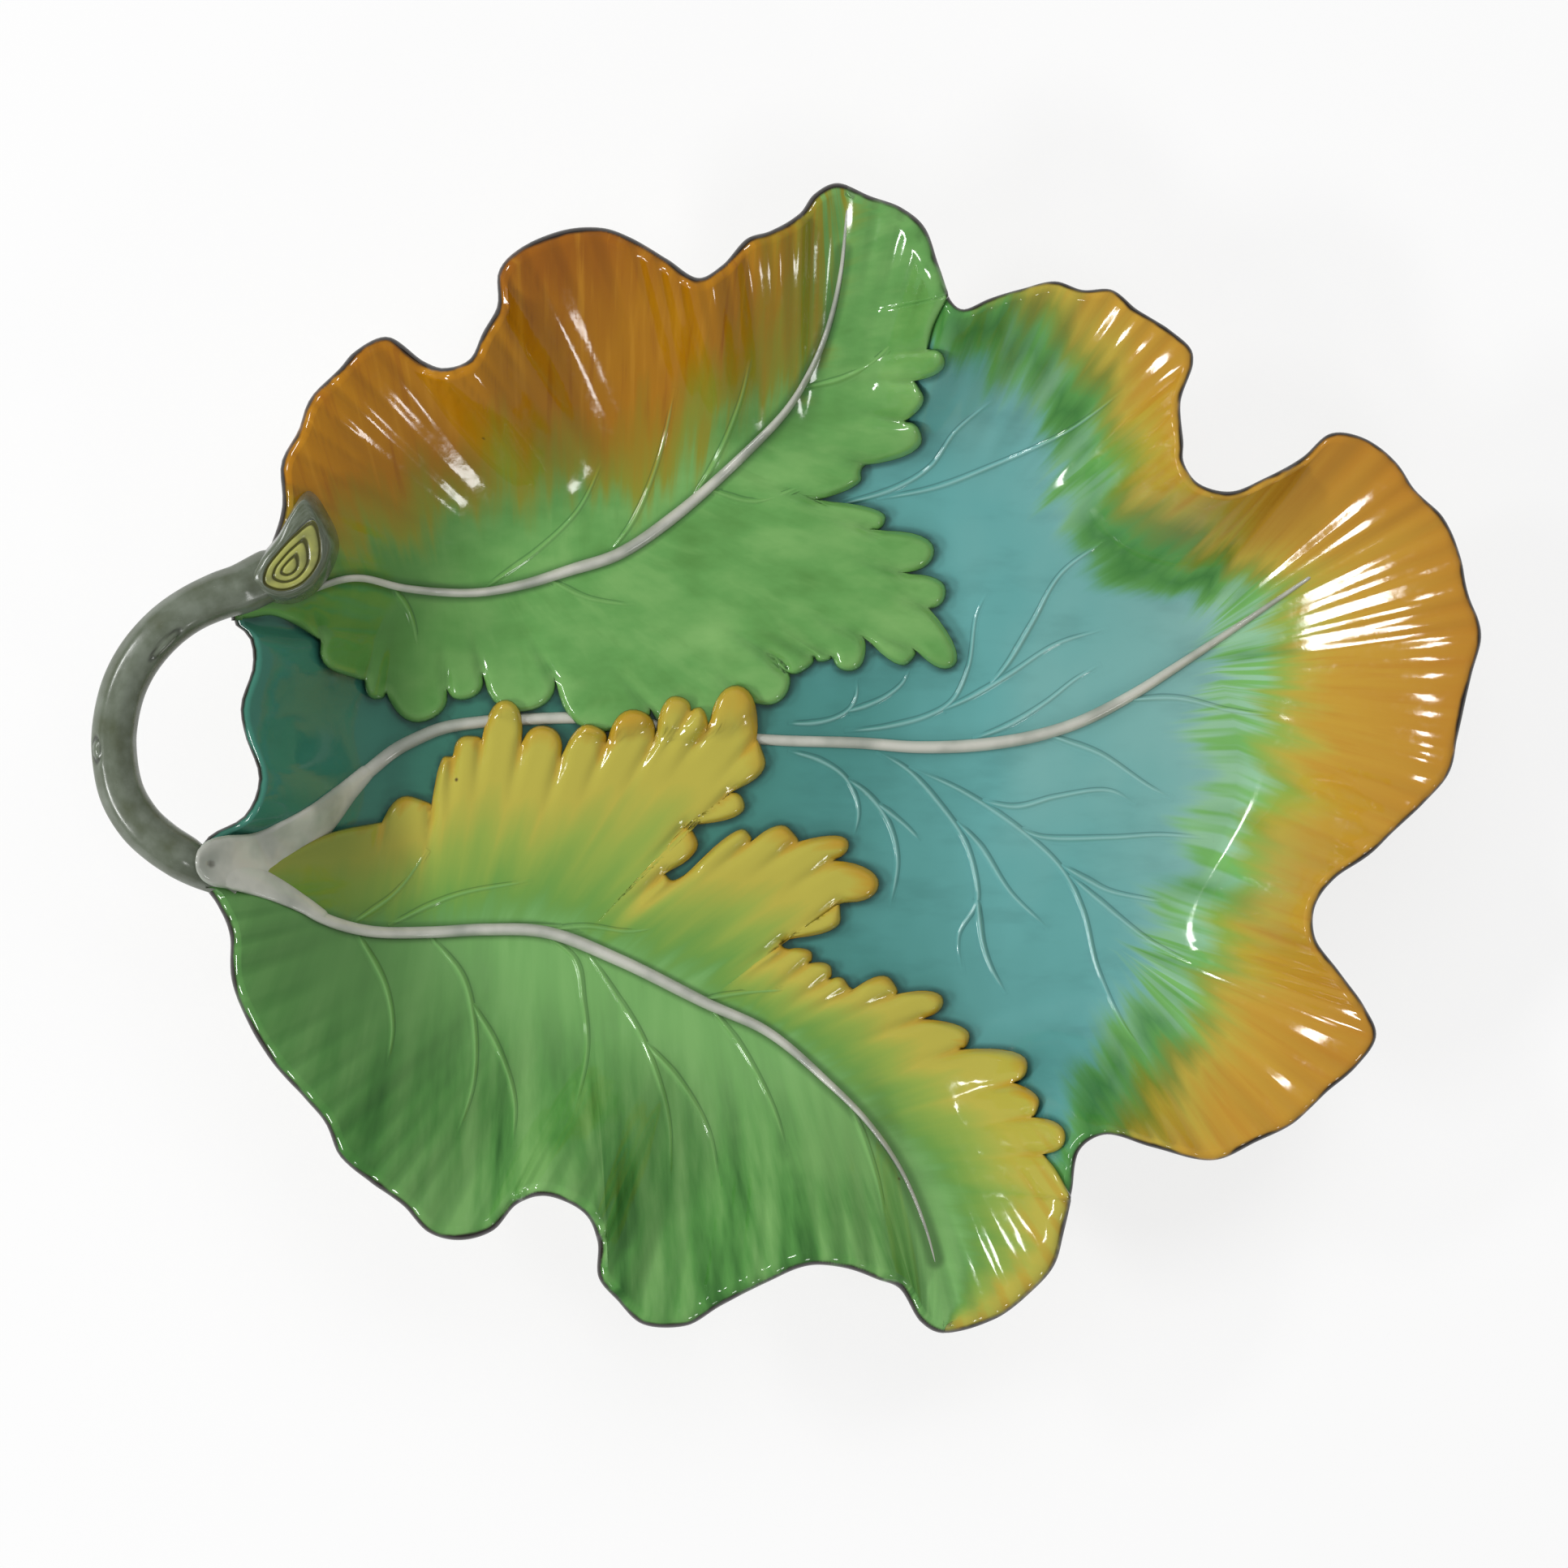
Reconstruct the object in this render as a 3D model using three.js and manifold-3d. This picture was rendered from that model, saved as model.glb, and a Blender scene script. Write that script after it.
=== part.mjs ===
// Leaf dish: three overlapping glazed leaves with raised midribs, a twig handle and a foot ring.
// Millimetres, +Z up. The origin lies under the middle of the dish, on the surface it stands on.
import * as THREE from "three";
import { mergeVertices } from "three/addons/utils/BufferGeometryUtils.js";
import Module from "manifold-3d";

const wasm = await Module();
wasm.setup();

// Overall sizes of the dish
const DISH_LENGTH = 343; // from the right lobe to the outside of the handle
const FLOOR_LENGTH = 212; // the flat floor is an oval
const FLOOR_WIDTH = 138;
const FLOOR_SHIFT = 6; // the oval's middle lies this far towards the right lobe
const RIM_RISE = 34; // mean height of the rim above the floor
const RIM_WAVE = 30; // fall of the rim for each mean radius that a lobe reaches further out
const WALL = 4; // thickness of the turquoise leaf, which is the dish itself
const FLUTE_COUNT = 52; // soft flutes round the wall
const FLUTE_DEPTH = 0.9; // half the height of a flute at the rim
const LIP_SLOPE = 0.6; // slope of the wall at the rim, as a share of its mean slope
const FOLD_INSET = 40; // how far inside the rim the wall's folds take their direction from it
const FOLD_REACH = 58; // length of rim on each side over which that direction is averaged
const BEND_REACH = 10; // and over which the rim's own direction is averaged

// Leaves laid over the dish
const LEAF = 2.4; // thickness on the floor
const LEAF_AT_RIM = 1.5; // thickness at the rim
const SLIP_GAP = 0.3; // the seam of slip between two pieces

// Midribs and stalk
const RIB_HEIGHT = 2;
const RIB_ROOT = 3; // how far a rib reaches below its seat before it is cut to it
const HIDDEN_RIB_HEIGHT = 1; // where the rib of the turquoise leaf runs under the other two
const RIB_RUN_OUT = 3; // length over which that rib drops
const TURQUOISE_RIB_WIDTH = 3.4;
const UPPER_RIB_WIDTH = 3;
const LOWER_RIB_WIDTH = 2.8;
const RIB_TIP_WIDTH = 1.2;
const STALK_WIDTH = 12;
const STALK_END_WIDTH = 5; // at the twig
const STALK_BRANCH_WIDTH = 7;
const STALK_HEIGHT = 3.4;

// Twig handle
const TWIG_RADIUS = 5.5;
const STUB_RADIUS = 9; // the swollen end with the sawn face
const TWIG_RISE = 4.5; // how far the twig's middle line lies above the mean rim
const KNOT_HEIGHT = 1.4;
const KNOT_LENGTH = 5;

// Foot ring
const FOOT_HEIGHT = 5;
const FOOT_WIDTH = 6;
const FOOT_SLANT = 1; // the ring narrows by this on each side towards the table
const FOOT_INSET = 13; // from the edge of the floor to the middle of the ring

// Resolution
const STEPS_PER_FLUTE = 4;
const WALL_RINGS = 5;
const LENGTH_DIVISIONS = 8; // for each step, where the rim's length is measured
const LOBE_SEGMENTS = 4;
const RIB_STEP = 7;
const TWIG_STEPS = 34;
const TWIG_SIDES = 12;
const FOOT_STEPS = 48;

// Plan drawing of the dish, seen from above. It is drawn in millimetres for a dish of this length.
const DRAWN_LENGTH = 343;
const drawingScale = DISH_LENGTH / DRAWN_LENGTH;

// The rim, clockwise from the upper foot of the handle: lobes, notches and small scallops.
const RIM = [
  [-124.5, 62], [-124.7, 73], [-120.6, 80.7], [-117.8, 88.5], [-110.5, 96], [-107, 100], [-99, 103.8],
  [-90, 97.8], [-85, 96], [-78.5, 98], [-75, 105], [-71.5, 111.5], [-71.2, 120], [-67, 125], [-56, 130],
  [-46, 130.7], [-39, 128.3], [-30, 123], [-22, 118.2], [-16, 121.5], [-10, 128], [-4, 130], [3, 134.3],
  [6.5, 139], [12, 141.8], [20, 138.7], [28, 135.7], [33.5, 131], [37, 121.5], [40.5, 112.5],
  [43, 110.8], [50, 113.6], [58, 116], [66, 117.8], [72.5, 115.7], [80, 115.7], [86, 111], [94, 106],
  [99.5, 101], [100, 97.5], [96.9, 88], [97.5, 78], [97.6, 73], [101, 68], [109, 65.9], [118, 69.4],
  [127, 74.4], [134, 80.3], [142, 79.3], [150, 73.5], [155, 66.3], [162, 59.5], [166, 50.5], [168, 41],
  [171.3, 31], [168.7, 20], [165.3, 5], [163.3, -3.5], [156.5, -11.5], [149.5, -18], [143.5, -23.8],
  [134.5, -30], [130, -36.5], [130, -44], [136, -52.5], [142.5, -61.5], [145.3, -68.5], [140.5, -76],
  [133, -82.5], [124.5, -90.3], [116, -94.5], [105, -99.2], [90, -96], [78, -92.8], [72, -96.5],
  [70, -107], [67.8, -117], [65.5, -125], [59, -132.3], [51, -138.2], [38, -141.6], [33, -139],
  [27.5, -130.5], [22, -128.2], [14.5, -125.5], [5, -124.8], [-6, -129.3], [-17, -135], [-25, -139.7],
  [-36, -139.3], [-42, -133.5], [-46.5, -128], [-46.8, -119], [-50, -112], [-60, -107.6], [-67, -109.8],
  [-73, -116.3], [-81, -118.6], [-88.5, -116.8], [-95, -110], [-103, -104.3], [-110.5, -97.8],
  [-113.8, -90], [-119, -83.7], [-126.5, -75.5], [-132.5, -66], [-137, -54.5], [-137.5, -43],
  [-140.5, -36], [-144, -31], [-146, -25], [-143, -19.3], [-134, -14], [-130.5, -5], [-134, 6],
  [-135, 13], [-132, 23], [-133, 30], [-137, 34], [-133, 42], [-127.5, 52],
];
const MEAN_RIM = { halfLength: 150, halfWidth: 128 };

// Toothed edge of each leaf: slit, lobe tip, slit, lobe tip, and so on to the last slit.
const UPPER_TEETH = [
  [-115.7, 29], [-111.5, 21], [-105.3, 19.3], [-102.8, 14.6], [-100, 16.2], [-90, 9.2], [-85, 17],
  [-79.2, 14.8], [-76, 21], [-66, 11.5], [-57.8, 19.5], [-45, 6.5], [-34, 12], [-20, 7], [-9, 14],
  [0.3, 17], [-4.2, 25.5], [3.3, 21.3], [6.5, 25.2], [9, 24], [11, 25.4], [16, 21.7], [19.3, 30],
  [30, 23.5], [31.8, 27], [41.5, 23], [35.4, 37.3], [39.5, 42], [28.3, 46.1], [36.6, 52], [21.2, 56.8],
  [24.5, 60], [7.3, 64.3], [18.5, 70], [19.6, 73], [33.5, 79.5], [29.1, 83.7], [33.5, 90.5],
  [31.5, 93.5], [39, 98], [34.6, 101.1],
];
const LOWER_TEETH = [
  [-101, -15.6], [-93.5, -9.3], [-88.7, -11.2], [-85.3, 0.8], [-83.4, 1], [-79.8, 5.9], [-76.2, 5],
  [-69.8, 14.8], [-66.3, 4], [-59.7, 8.2], [-56.5, 0.3], [-48.7, 8.6], [-45, 4.2], [-37.8, 12.4],
  [-33, 5.2], [-28, 15.8], [-24, 12.2], [-22.2, 13], [-19.6, 8], [-12.5, 18.4], [-7.6, 5], [-5.6, 0.2],
  [-14, -8.2], [-10.6, -12], [-25.5, -16.6], [-21.7, -20.6], [-30.5, -28.7], [-10.5, -17.3],
  [-9, -20.5], [0.4, -17.2], [2.8, -20.5], [15.2, -20.6], [11.5, -25.2], [22.8, -31.4], [13, -35.8],
  [13.3, -40], [-1.3, -45.9], [6.2, -48.6], [5.4, -50.8], [11, -52.2], [10.4, -54.8], [14.6, -55.4],
  [16.5, -57.2], [25.8, -54.8], [27.3, -58.5], [38.8, -59.8], [33.8, -64.7], [45.4, -69], [43, -72.3],
  [59.6, -75.4], [56, -80.3], [62.3, -85.6], [60.5, -88.7], [68.6, -93], [63.2, -97.7],
];
// The rest of each leaf's outline: from the last slit over the rim, round outside the dish, and back.
const UPPER_SURROUND = [
  [36, 106.6], [38.3, 112.5], [44, 124], [20, 165], [-150, 165], [-185, 60], [-160, 31], [-136, 33.6],
  [-127.5, 35.2], [-122.8, 33.4],
];
const LOWER_SURROUND = [
  [66, -101], [69.2, -108], [78, -114], [60, -165], [-150, -165], [-185, -60], [-160, -34],
  [-143, -32], [-132, -27], [-124, -23], [-117, -19.5], [-110.6, -17.4],
];

// Middle lines of the ribs, from the stalk to the tip.
const TURQUOISE_RIB = [
  [-103.2, -1.8], [-98, 2], [-92, 5.2], [-86, 7.6], [-76, 9.2], [-64, 9.9], [-50, 10.1], [-30, 8],
  [-7.2, 4.9], [18, 3.9], [32, 2.9], [46, 3.3], [60, 5.3], [72, 8.9], [84, 14.9], [100, 25], [115, 35],
  [130, 45.3],
];
const TURQUOISE_RIB_HIDDEN = { from: -78, to: -8 };
const UPPER_RIB = [
  [-116, 42.4], [-110, 44.3], [-105, 44.6], [-95, 42.3], [-78, 41.3], [-66, 43.3], [-54, 47], [-42, 51],
  [-28, 60.5], [-10, 76.5], [0, 87], [6, 97], [10, 107], [13, 120], [14.6, 136],
];
const LOWER_RIB = [
  [-114.6, -39.7], [-104, -42.8], [-90, -43.2], [-75, -42.5], [-60, -43.2], [-42, -50.1], [-20, -61],
  [-5, -68], [10, -80.5], [20, -90.5], [28, -102], [34, -116], [37, -127],
];
const STALK_MAIN = [
  [-143.5, -25.6], [-138, -25.5], [-130, -24.6], [-122, -20], [-116, -15], [-110, -8.7], [-103.6, -2.1],
];
const STALK_WIDENS = 0.25; // share of its length over which the stalk widens from its end
const STALK_BRANCH = [
  [-138, -26], [-128, -31], [-120, -36], [-115, -39.5],
];

// Middle line of the twig, from the foot at the stalk round the loop to the sawn stub.
const TWIG = [
  [-143.5, -27.5], [-148.5, -24.7], [-154.2, -20.9], [-159.7, -15.8], [-164.2, -8], [-166, 3],
  [-165.4, 10.5], [-163.3, 18.2], [-159.5, 25.2], [-153.5, 32], [-147.2, 36.6], [-139.5, 41],
  [-130.5, 45.5], [-121.5, 50], [-114, 54],
];
const TWIG_SWELLS = { from: 0.76, to: 0.9 }; // shares of its length between which it becomes the stub
const KNOTS = [
  { at: 0.34, side: 0.5 }, // share of its length, and turn about it from the outside of the loop
  { at: 0.566, side: 2.2 },
];
const SAWN_FACE = { normal: [0.34, -0.3, 0.89], depth: 0.45 }; // depth in stub radii

// Heights that follow from the sizes above
const floorTop = FOOT_HEIGHT + SLIP_GAP + WALL;
const meanRim = floorTop + RIM_RISE;

const polar = (angle, radius) => new THREE.Vector2(radius * Math.cos(angle), radius * Math.sin(angle));
const inPlan = ([x, y]) => new THREE.Vector2(x * drawingScale, y * drawingScale);
const smoothStep = (t) => THREE.MathUtils.smoothstep(t, 0, 1);

// A closed geometry as a solid that can be cut or joined.
function solidOf(geometry) {
  const bare = geometry.clone();
  bare.deleteAttribute("normal");
  bare.deleteAttribute("uv");
  const merged = mergeVertices(bare, 1e-4);
  const vertProperties = new Float32Array(merged.attributes.position.array);
  const triVerts = new Uint32Array(merged.index.array);
  return new wasm.Manifold(new wasm.Mesh({ numProp: 3, vertProperties, triVerts }));
}

// Points and faces as an indexed geometry.
function geometryFrom(points, faces) {
  const geometry = new THREE.BufferGeometry().setFromPoints(points);
  geometry.setIndex(faces.flat());
  return geometry;
}

// Distance from the origin to an oval whose middle is shifted along X, in the direction of an angle.
function ovalRadius(angle, halfLength, halfWidth, shift) {
  const c = Math.cos(angle) / halfLength;
  const s = Math.sin(angle) / halfWidth;
  const offset = shift / halfLength;
  const squares = c * c + s * s;
  return (c * offset + Math.sqrt(c * c * offset * offset + squares * (1 - offset * offset))) / squares;
}

const floorEdge = (angle, inset = 0) =>
  ovalRadius(angle, FLOOR_LENGTH / 2 - inset, FLOOR_WIDTH / 2 - inset, FLOOR_SHIFT);

// Height of the rim above the floor: lobes that reach out fall, notches stand up.
function rimHeight(angle, radius) {
  const { halfLength, halfWidth } = MEAN_RIM;
  const mean = ovalRadius(angle, halfLength * drawingScale, halfWidth * drawingScale, 0);
  return RIM_RISE - RIM_WAVE * (radius / mean - 1);
}

// Means of a closed row of values, with weights that fall evenly to nothing over reach entries on each
// side. lap is what the values gain each time round.
function averaged(values, reach, lap = 0) {
  const count = values.length;
  return values.map((_, place) => {
    let [sum, weights] = [0, 0];
    for (let shift = -reach; shift <= reach; shift += 1) {
      const weight = 1 - Math.abs(shift) / (reach + 1);
      const laps = Math.floor((place + shift) / count);
      sum += weight * (values[place + shift - laps * count] + laps * lap);
      weights += weight;
    }
    return sum / weights;
  });
}

const FULL_TURN = 2 * Math.PI;
const halfTurnOrLess = (angle) => angle - FULL_TURN * Math.round(angle / FULL_TURN);

// The rim in plan, walked counter-clockwise in equal steps. Each step has a line of the wall, from its
// foot on the floor's edge to the rim, the rim's height and a flute phase. The feet go round with the
// points inside the rim, averaged, so that the wall folds into a notch and never steps.
function rimStations() {
  const corners = RIM.map(inPlan).reverse();
  const curve = new THREE.CatmullRomCurve3(corners.map((p) => new THREE.Vector3(p.x, p.y, 0)), true);
  const steps = FLUTE_COUNT * STEPS_PER_FLUTE;
  curve.arcLengthDivisions = steps * LENGTH_DIVISIONS;
  const stepLength = curve.getLength() / steps;
  const rims = curve.getSpacedPoints(steps).slice(0, steps).map((p) => new THREE.Vector2(p.x, p.y));
  const angles = [rims[0].angle()];
  for (let step = 1; step < steps; step += 1) {
    angles.push(angles[step - 1] + halfTurnOrLess(rims[step].angle() - angles[step - 1]));
  }
  const bend = Math.round(BEND_REACH / stepLength);
  const ways = rims.map((_, step) => rims[(step + 1) % steps].clone().sub(rims.at(step - 1)));
  const wayX = averaged(ways.map((way) => way.x), bend);
  const wayY = averaged(ways.map((way) => way.y), bend);
  const inward = rims.map((_, step) => new THREE.Vector2(-wayY[step], wayX[step]).normalize());
  const inside = rims.map((rim, step) => rim.clone().addScaledVector(inward[step], FOLD_INSET));
  const turns = inside.map((p, step) => angles[step] + halfTurnOrLess(p.angle() - angles[step]));
  const footAngles = averaged(turns, Math.round(FOLD_REACH / stepLength), FULL_TURN);
  return rims.map((rim, step) => ({
    angle: angles[step],
    rim,
    foot: polar(footAngles[step], floorEdge(footAngles[step])),
    rise: rimHeight(angles[step], rim.length()),
    phase: (FULL_TURN * step) / STEPS_PER_FLUTE,
  }));
}
const stations = rimStations();

// The wall rises from the floor in an S curve that flares at the lip: a cubic that leaves the floor
// level and ends at the lip's slope. across is 0 at the floor's edge and 1 at the rim.
const wallCurve = (across) => across * across * (3 - LIP_SLOPE - (2 - LIP_SLOPE) * across);
const wallCurveSlope = (across) => across * (2 * (3 - LIP_SLOPE) - 3 * (2 - LIP_SLOPE) * across);

// A point of the dish's upper face at a station: its place, height and how much further a piece
// reaches upright than square to the wall.
const STEEPEST = 2.2;
function wallPoint({ foot, rim, rise, phase }, across) {
  const flute = FLUTE_DEPTH * across * across * Math.cos(phase);
  const slope = (rise * wallCurveSlope(across)) / foot.distanceTo(rim);
  return {
    place: foot.clone().lerp(rim, across),
    height: floorTop + rise * wallCurve(across) + flute,
    upright: Math.min(STEEPEST, Math.hypot(1, slope)),
  };
}

// The station whose line passes through a plan point, between the two nearest.
function stationThrough(point) {
  const count = stations.length;
  const sides = stations.map(({ foot, rim }) => {
    const line = rim.clone().sub(foot);
    const reach = point.clone().sub(foot);
    return line.dot(reach) < 0 ? NaN : line.cross(reach) / line.length();
  });
  const found = sides.findIndex((side, step) => side >= 0 && sides[(step + 1) % count] < 0);
  const [before, after] = [stations[found], stations[(found + 1) % count]];
  const share = sides[found] / (sides[found] - sides[(found + 1) % count]);
  return {
    foot: before.foot.clone().lerp(after.foot, share),
    rim: before.rim.clone().lerp(after.rim, share),
    rise: THREE.MathUtils.lerp(before.rise, after.rise, share),
    phase: before.phase + (share * FULL_TURN) / STEPS_PER_FLUTE,
  };
}

// Height of the dish's upper face over a point of the plan, raised square to the wall. Outside the
// rim it stays at the rim's height.
function seatHeight({ x, y }, raise) {
  const point = new THREE.Vector2(x, y);
  if (point.length() <= floorEdge(point.angle())) return floorTop + raise;
  const station = stationThrough(point);
  const line = station.rim.clone().sub(station.foot);
  const across = point.sub(station.foot).dot(line) / line.lengthSq();
  const { height, upright } = wallPoint(station, THREE.MathUtils.clamp(across, 0, 1));
  return height + raise * upright;
}

// A solid between two faces that follow the dish. top and bottom give a height from a wall point and
// its place across the wall; grow widens the solid past the rim.
function dishSolid(top, bottom, grow = 0) {
  const count = stations.length;
  const rings = [];
  for (let ring = 0; ring <= WALL_RINGS; ring += 1) {
    const across = ring / WALL_RINGS;
    rings.push(stations.map((s) => ({ s, across, wall: wallPoint(s, across) })));
  }
  const points = [];
  for (const face of [top, bottom]) {
    const level = face({ height: floorTop, upright: 1 }, 0);
    points.push(new THREE.Vector3(0, 0, level));
    for (const { s, across, wall } of rings.flat()) {
      const { x, y } = wall.place.clone().add(polar(s.angle, across === 1 ? grow : 0));
      points.push(new THREE.Vector3(x, y, face(wall, across)));
    }
  }
  const half = points.length / 2;
  const at = (ring, step) => 1 + ring * count + (step % count);
  const faces = [];
  for (let step = 0; step < count; step += 1) {
    faces.push([0, at(0, step), at(0, step + 1)]);
    faces.push([half, half + at(0, step + 1), half + at(0, step)]);
    for (let ring = 0; ring < WALL_RINGS; ring += 1) {
      const quad = [at(ring, step), at(ring + 1, step), at(ring + 1, step + 1), at(ring, step + 1)];
      const [a, b, c, d] = quad;
      faces.push([a, b, c], [a, c, d]);
      faces.push([half + a, half + c, half + b], [half + a, half + d, half + c]);
    }
    const rim = at(WALL_RINGS, step);
    const next = at(WALL_RINGS, step + 1);
    faces.push([rim, half + rim, half + next], [rim, half + next, next]);
  }
  return solidOf(geometryFrom(points, faces));
}

const raisedBy = (amount) => (wall, across) =>
  wall.height + wall.upright * (typeof amount === "function" ? amount(across) : amount);
const leafTop = (across) => SLIP_GAP + THREE.MathUtils.lerp(LEAF, LEAF_AT_RIM, across);
const wellBelow = () => -FOOT_HEIGHT;

// One lobe of a toothed edge, drawn onto a shape from slit to slit: straight flanks and a full round
// end, as two cubic curves that meet at the tip.
const LOBE_FULLNESS = 0.72;
function drawLobe(shape, from, tip, to) {
  const base = from.clone().lerp(to, 0.5);
  const out = tip.clone().sub(base).normalize();
  const side = new THREE.Vector2(-out.y, out.x);
  if (side.dot(to.clone().sub(from)) < 0) side.negate();
  const towards = (start, end, way) =>
    start.clone().addScaledVector(way, LOBE_FULLNESS * end.clone().sub(start).dot(way));
  const flank = (slit) => towards(slit, tip, out);
  const shoulder = (slit) => towards(tip, slit, side);
  const [a, b, c, d] = [flank(from), shoulder(from), shoulder(to), flank(to)];
  shape.bezierCurveTo(a.x, a.y, b.x, b.y, tip.x, tip.y);
  shape.bezierCurveTo(c.x, c.y, d.x, d.y, to.x, to.y);
}

// A leaf's outline in plan: its toothed edge, then the plain way round outside the dish.
function leafOutline(teeth, surround) {
  const edge = teeth.map(inPlan);
  const shape = new THREE.Shape();
  shape.moveTo(edge[0].x, edge[0].y);
  for (let i = 0; i + 2 < edge.length; i += 2) drawLobe(shape, edge[i], edge[i + 1], edge[i + 2]);
  for (const p of surround.map(inPlan)) shape.lineTo(p.x, p.y);
  shape.closePath();
  const outline = shape.getPoints(LOBE_SEGMENTS);
  outline.pop();
  if (THREE.ShapeUtils.isClockWise(outline)) outline.reverse();
  return outline;
}

// An upright block with a leaf's outline, taller than the dish.
function leafBlock(outline) {
  const depth = floorTop + 2 * RIM_RISE;
  return solidOf(new THREE.ExtrudeGeometry(new THREE.Shape(outline), { depth, bevelEnabled: false }));
}

// The room that a solid needs with a clearance all round in plan: the solid shifted every way and joined.
const SHIFT_DIRECTIONS = 8;
function roomAround(solid, clearance) {
  let room = solid;
  for (let i = 0; i < SHIFT_DIRECTIONS; i += 1) {
    const turn = (2 * Math.PI * i) / SHIFT_DIRECTIONS;
    room = room.add(solid.translate([clearance * Math.cos(turn), clearance * Math.sin(turn), 0]));
  }
  return room;
}

// A solid swept through stations, each with a middle, two directions across and the section's points.
function sweep(rows) {
  const sides = rows[0].length;
  const faces = [];
  for (let row = 0; row + 1 < rows.length; row += 1) {
    for (let side = 0; side < sides; side += 1) {
      const next = (side + 1) % sides;
      const [a, b] = [row * sides + side, row * sides + next];
      faces.push([a, b, b + sides], [a, b + sides, a + sides]);
    }
  }
  const last = (rows.length - 1) * sides;
  for (let side = 1; side + 1 < sides; side += 1) {
    faces.push([0, side + 1, side], [last, last + side, last + side + 1]);
  }
  return solidOf(geometryFrom(rows.flat(), faces));
}

// A half-round bar along a plan line, lying on the dish raised by seat. width and height give its
// size at a share of its length and a plan point.
const BAR_CROWN = [0, 0.25, 0.5, 0.75, 1].map((share) => share * Math.PI);
function bar(line, seat, width, height, clearance = 0) {
  const corners = line.map(inPlan);
  const curve = new THREE.CatmullRomCurve3(corners.map((p) => new THREE.Vector3(p.x, p.y, 0)));
  const steps = Math.ceil(curve.getLength() / RIB_STEP);
  const rows = [];
  for (let step = 0; step <= steps; step += 1) {
    const share = step / steps;
    const p = curve.getPointAt(share);
    const along = curve.getTangentAt(share);
    const across = new THREE.Vector3(-along.y, along.x, 0);
    const half = width(share) / 2 + clearance;
    const crown = height(p) + clearance;
    const level = seatHeight(p, seat);
    const at = (reach, up) => p.clone().addScaledVector(across, reach).setZ(level + up);
    const row = BAR_CROWN.map((turn) => at(half * Math.cos(turn), crown * Math.sin(turn)));
    row.push(at(-half, -RIB_ROOT), at(half, -RIB_ROOT));
    rows.push(row.reverse());
  }
  rows.reverse();
  return sweep(rows);
}

const taper = (from, to) => (share) => THREE.MathUtils.lerp(from, to, share * share);

// Twig: a round rod with knots that swells into the stub.
function twigRod(clearance) {
  const level = meanRim + TWIG_RISE;
  const corners = TWIG.map(inPlan);
  const curve = new THREE.CatmullRomCurve3(corners.map((p) => new THREE.Vector3(p.x, p.y, level)));
  const up = new THREE.Vector3(0, 0, 1);
  const length = curve.getLength();
  const rows = [];
  for (let step = 0; step <= TWIG_STEPS; step += 1) {
    const share = step / TWIG_STEPS;
    const middle = curve.getPointAt(share);
    const across = new THREE.Vector3().crossVectors(up, curve.getTangentAt(share));
    const swell = THREE.MathUtils.smoothstep(share, TWIG_SWELLS.from, TWIG_SWELLS.to);
    const plain = THREE.MathUtils.lerp(TWIG_RADIUS, STUB_RADIUS, swell) + clearance;
    const row = [];
    for (let side = 0; side < TWIG_SIDES; side += 1) {
      const turn = (2 * Math.PI * side) / TWIG_SIDES;
      const bulges = KNOTS.map(({ at, side }) => knotBulge((share - at) * length, turn - side));
      const radius = plain + bulges.reduce((sum, bulge) => sum + bulge, 0);
      const spoke = across.clone().multiplyScalar(Math.cos(turn)).addScaledVector(up, Math.sin(turn));
      row.push(middle.clone().addScaledVector(spoke, radius));
    }
    rows.push(row);
  }
  return sweep(rows);
}

// A knot swells one side of the twig over its own length.
function knotBulge(along, turn) {
  const away = along / KNOT_LENGTH;
  const facing = Math.max(0, Math.cos(turn));
  return KNOT_HEIGHT * Math.exp(-away * away) * facing * facing;
}

// The waste that the saw takes off the stub: a block on the far side of the slanting face, which
// crosses the twig over the last point but one of its middle line.
const SAWN_BLOCK = 8; // its size in stub radii
function sawnWaste() {
  const size = STUB_RADIUS * SAWN_BLOCK;
  const normal = new THREE.Vector3(...SAWN_FACE.normal).normalize();
  const place = inPlan(TWIG.at(-2));
  const level = meanRim + TWIG_RISE + SAWN_FACE.depth * STUB_RADIUS;
  const face = new THREE.Vector3(place.x, place.y, level);
  const block = new THREE.BoxGeometry(size, size, size);
  block.translate(0, 0, size / 2);
  block.applyQuaternion(new THREE.Quaternion().setFromUnitVectors(new THREE.Vector3(0, 0, 1), normal));
  block.translate(face.x, face.y, face.z);
  return solidOf(block);
}

// Foot ring: an oval band that follows the floor's edge.
function footRing() {
  const half = FOOT_WIDTH / 2;
  const sole = half - FOOT_SLANT;
  const section = [[sole, 0], [half, FOOT_HEIGHT], [-half, FOOT_HEIGHT], [-sole, 0]];
  const points = [];
  const faces = [];
  const sides = section.length;
  for (let step = 0; step < FOOT_STEPS; step += 1) {
    const angle = (2 * Math.PI * step) / FOOT_STEPS;
    for (const [reach, level] of section) {
      const radius = floorEdge(angle, FOOT_INSET - reach);
      points.push(new THREE.Vector3(radius * Math.cos(angle), radius * Math.sin(angle), level));
    }
    for (let side = 0; side < sides; side += 1) {
      const next = (side + 1) % sides;
      const ahead = ((step + 1) % FOOT_STEPS) * sides;
      const [a, b, c, d] = [step * sides + side, step * sides + next, ahead + next, ahead + side];
      faces.push([a, c, b], [a, d, c]);
    }
  }
  return solidOf(geometryFrom(points, faces));
}

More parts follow.
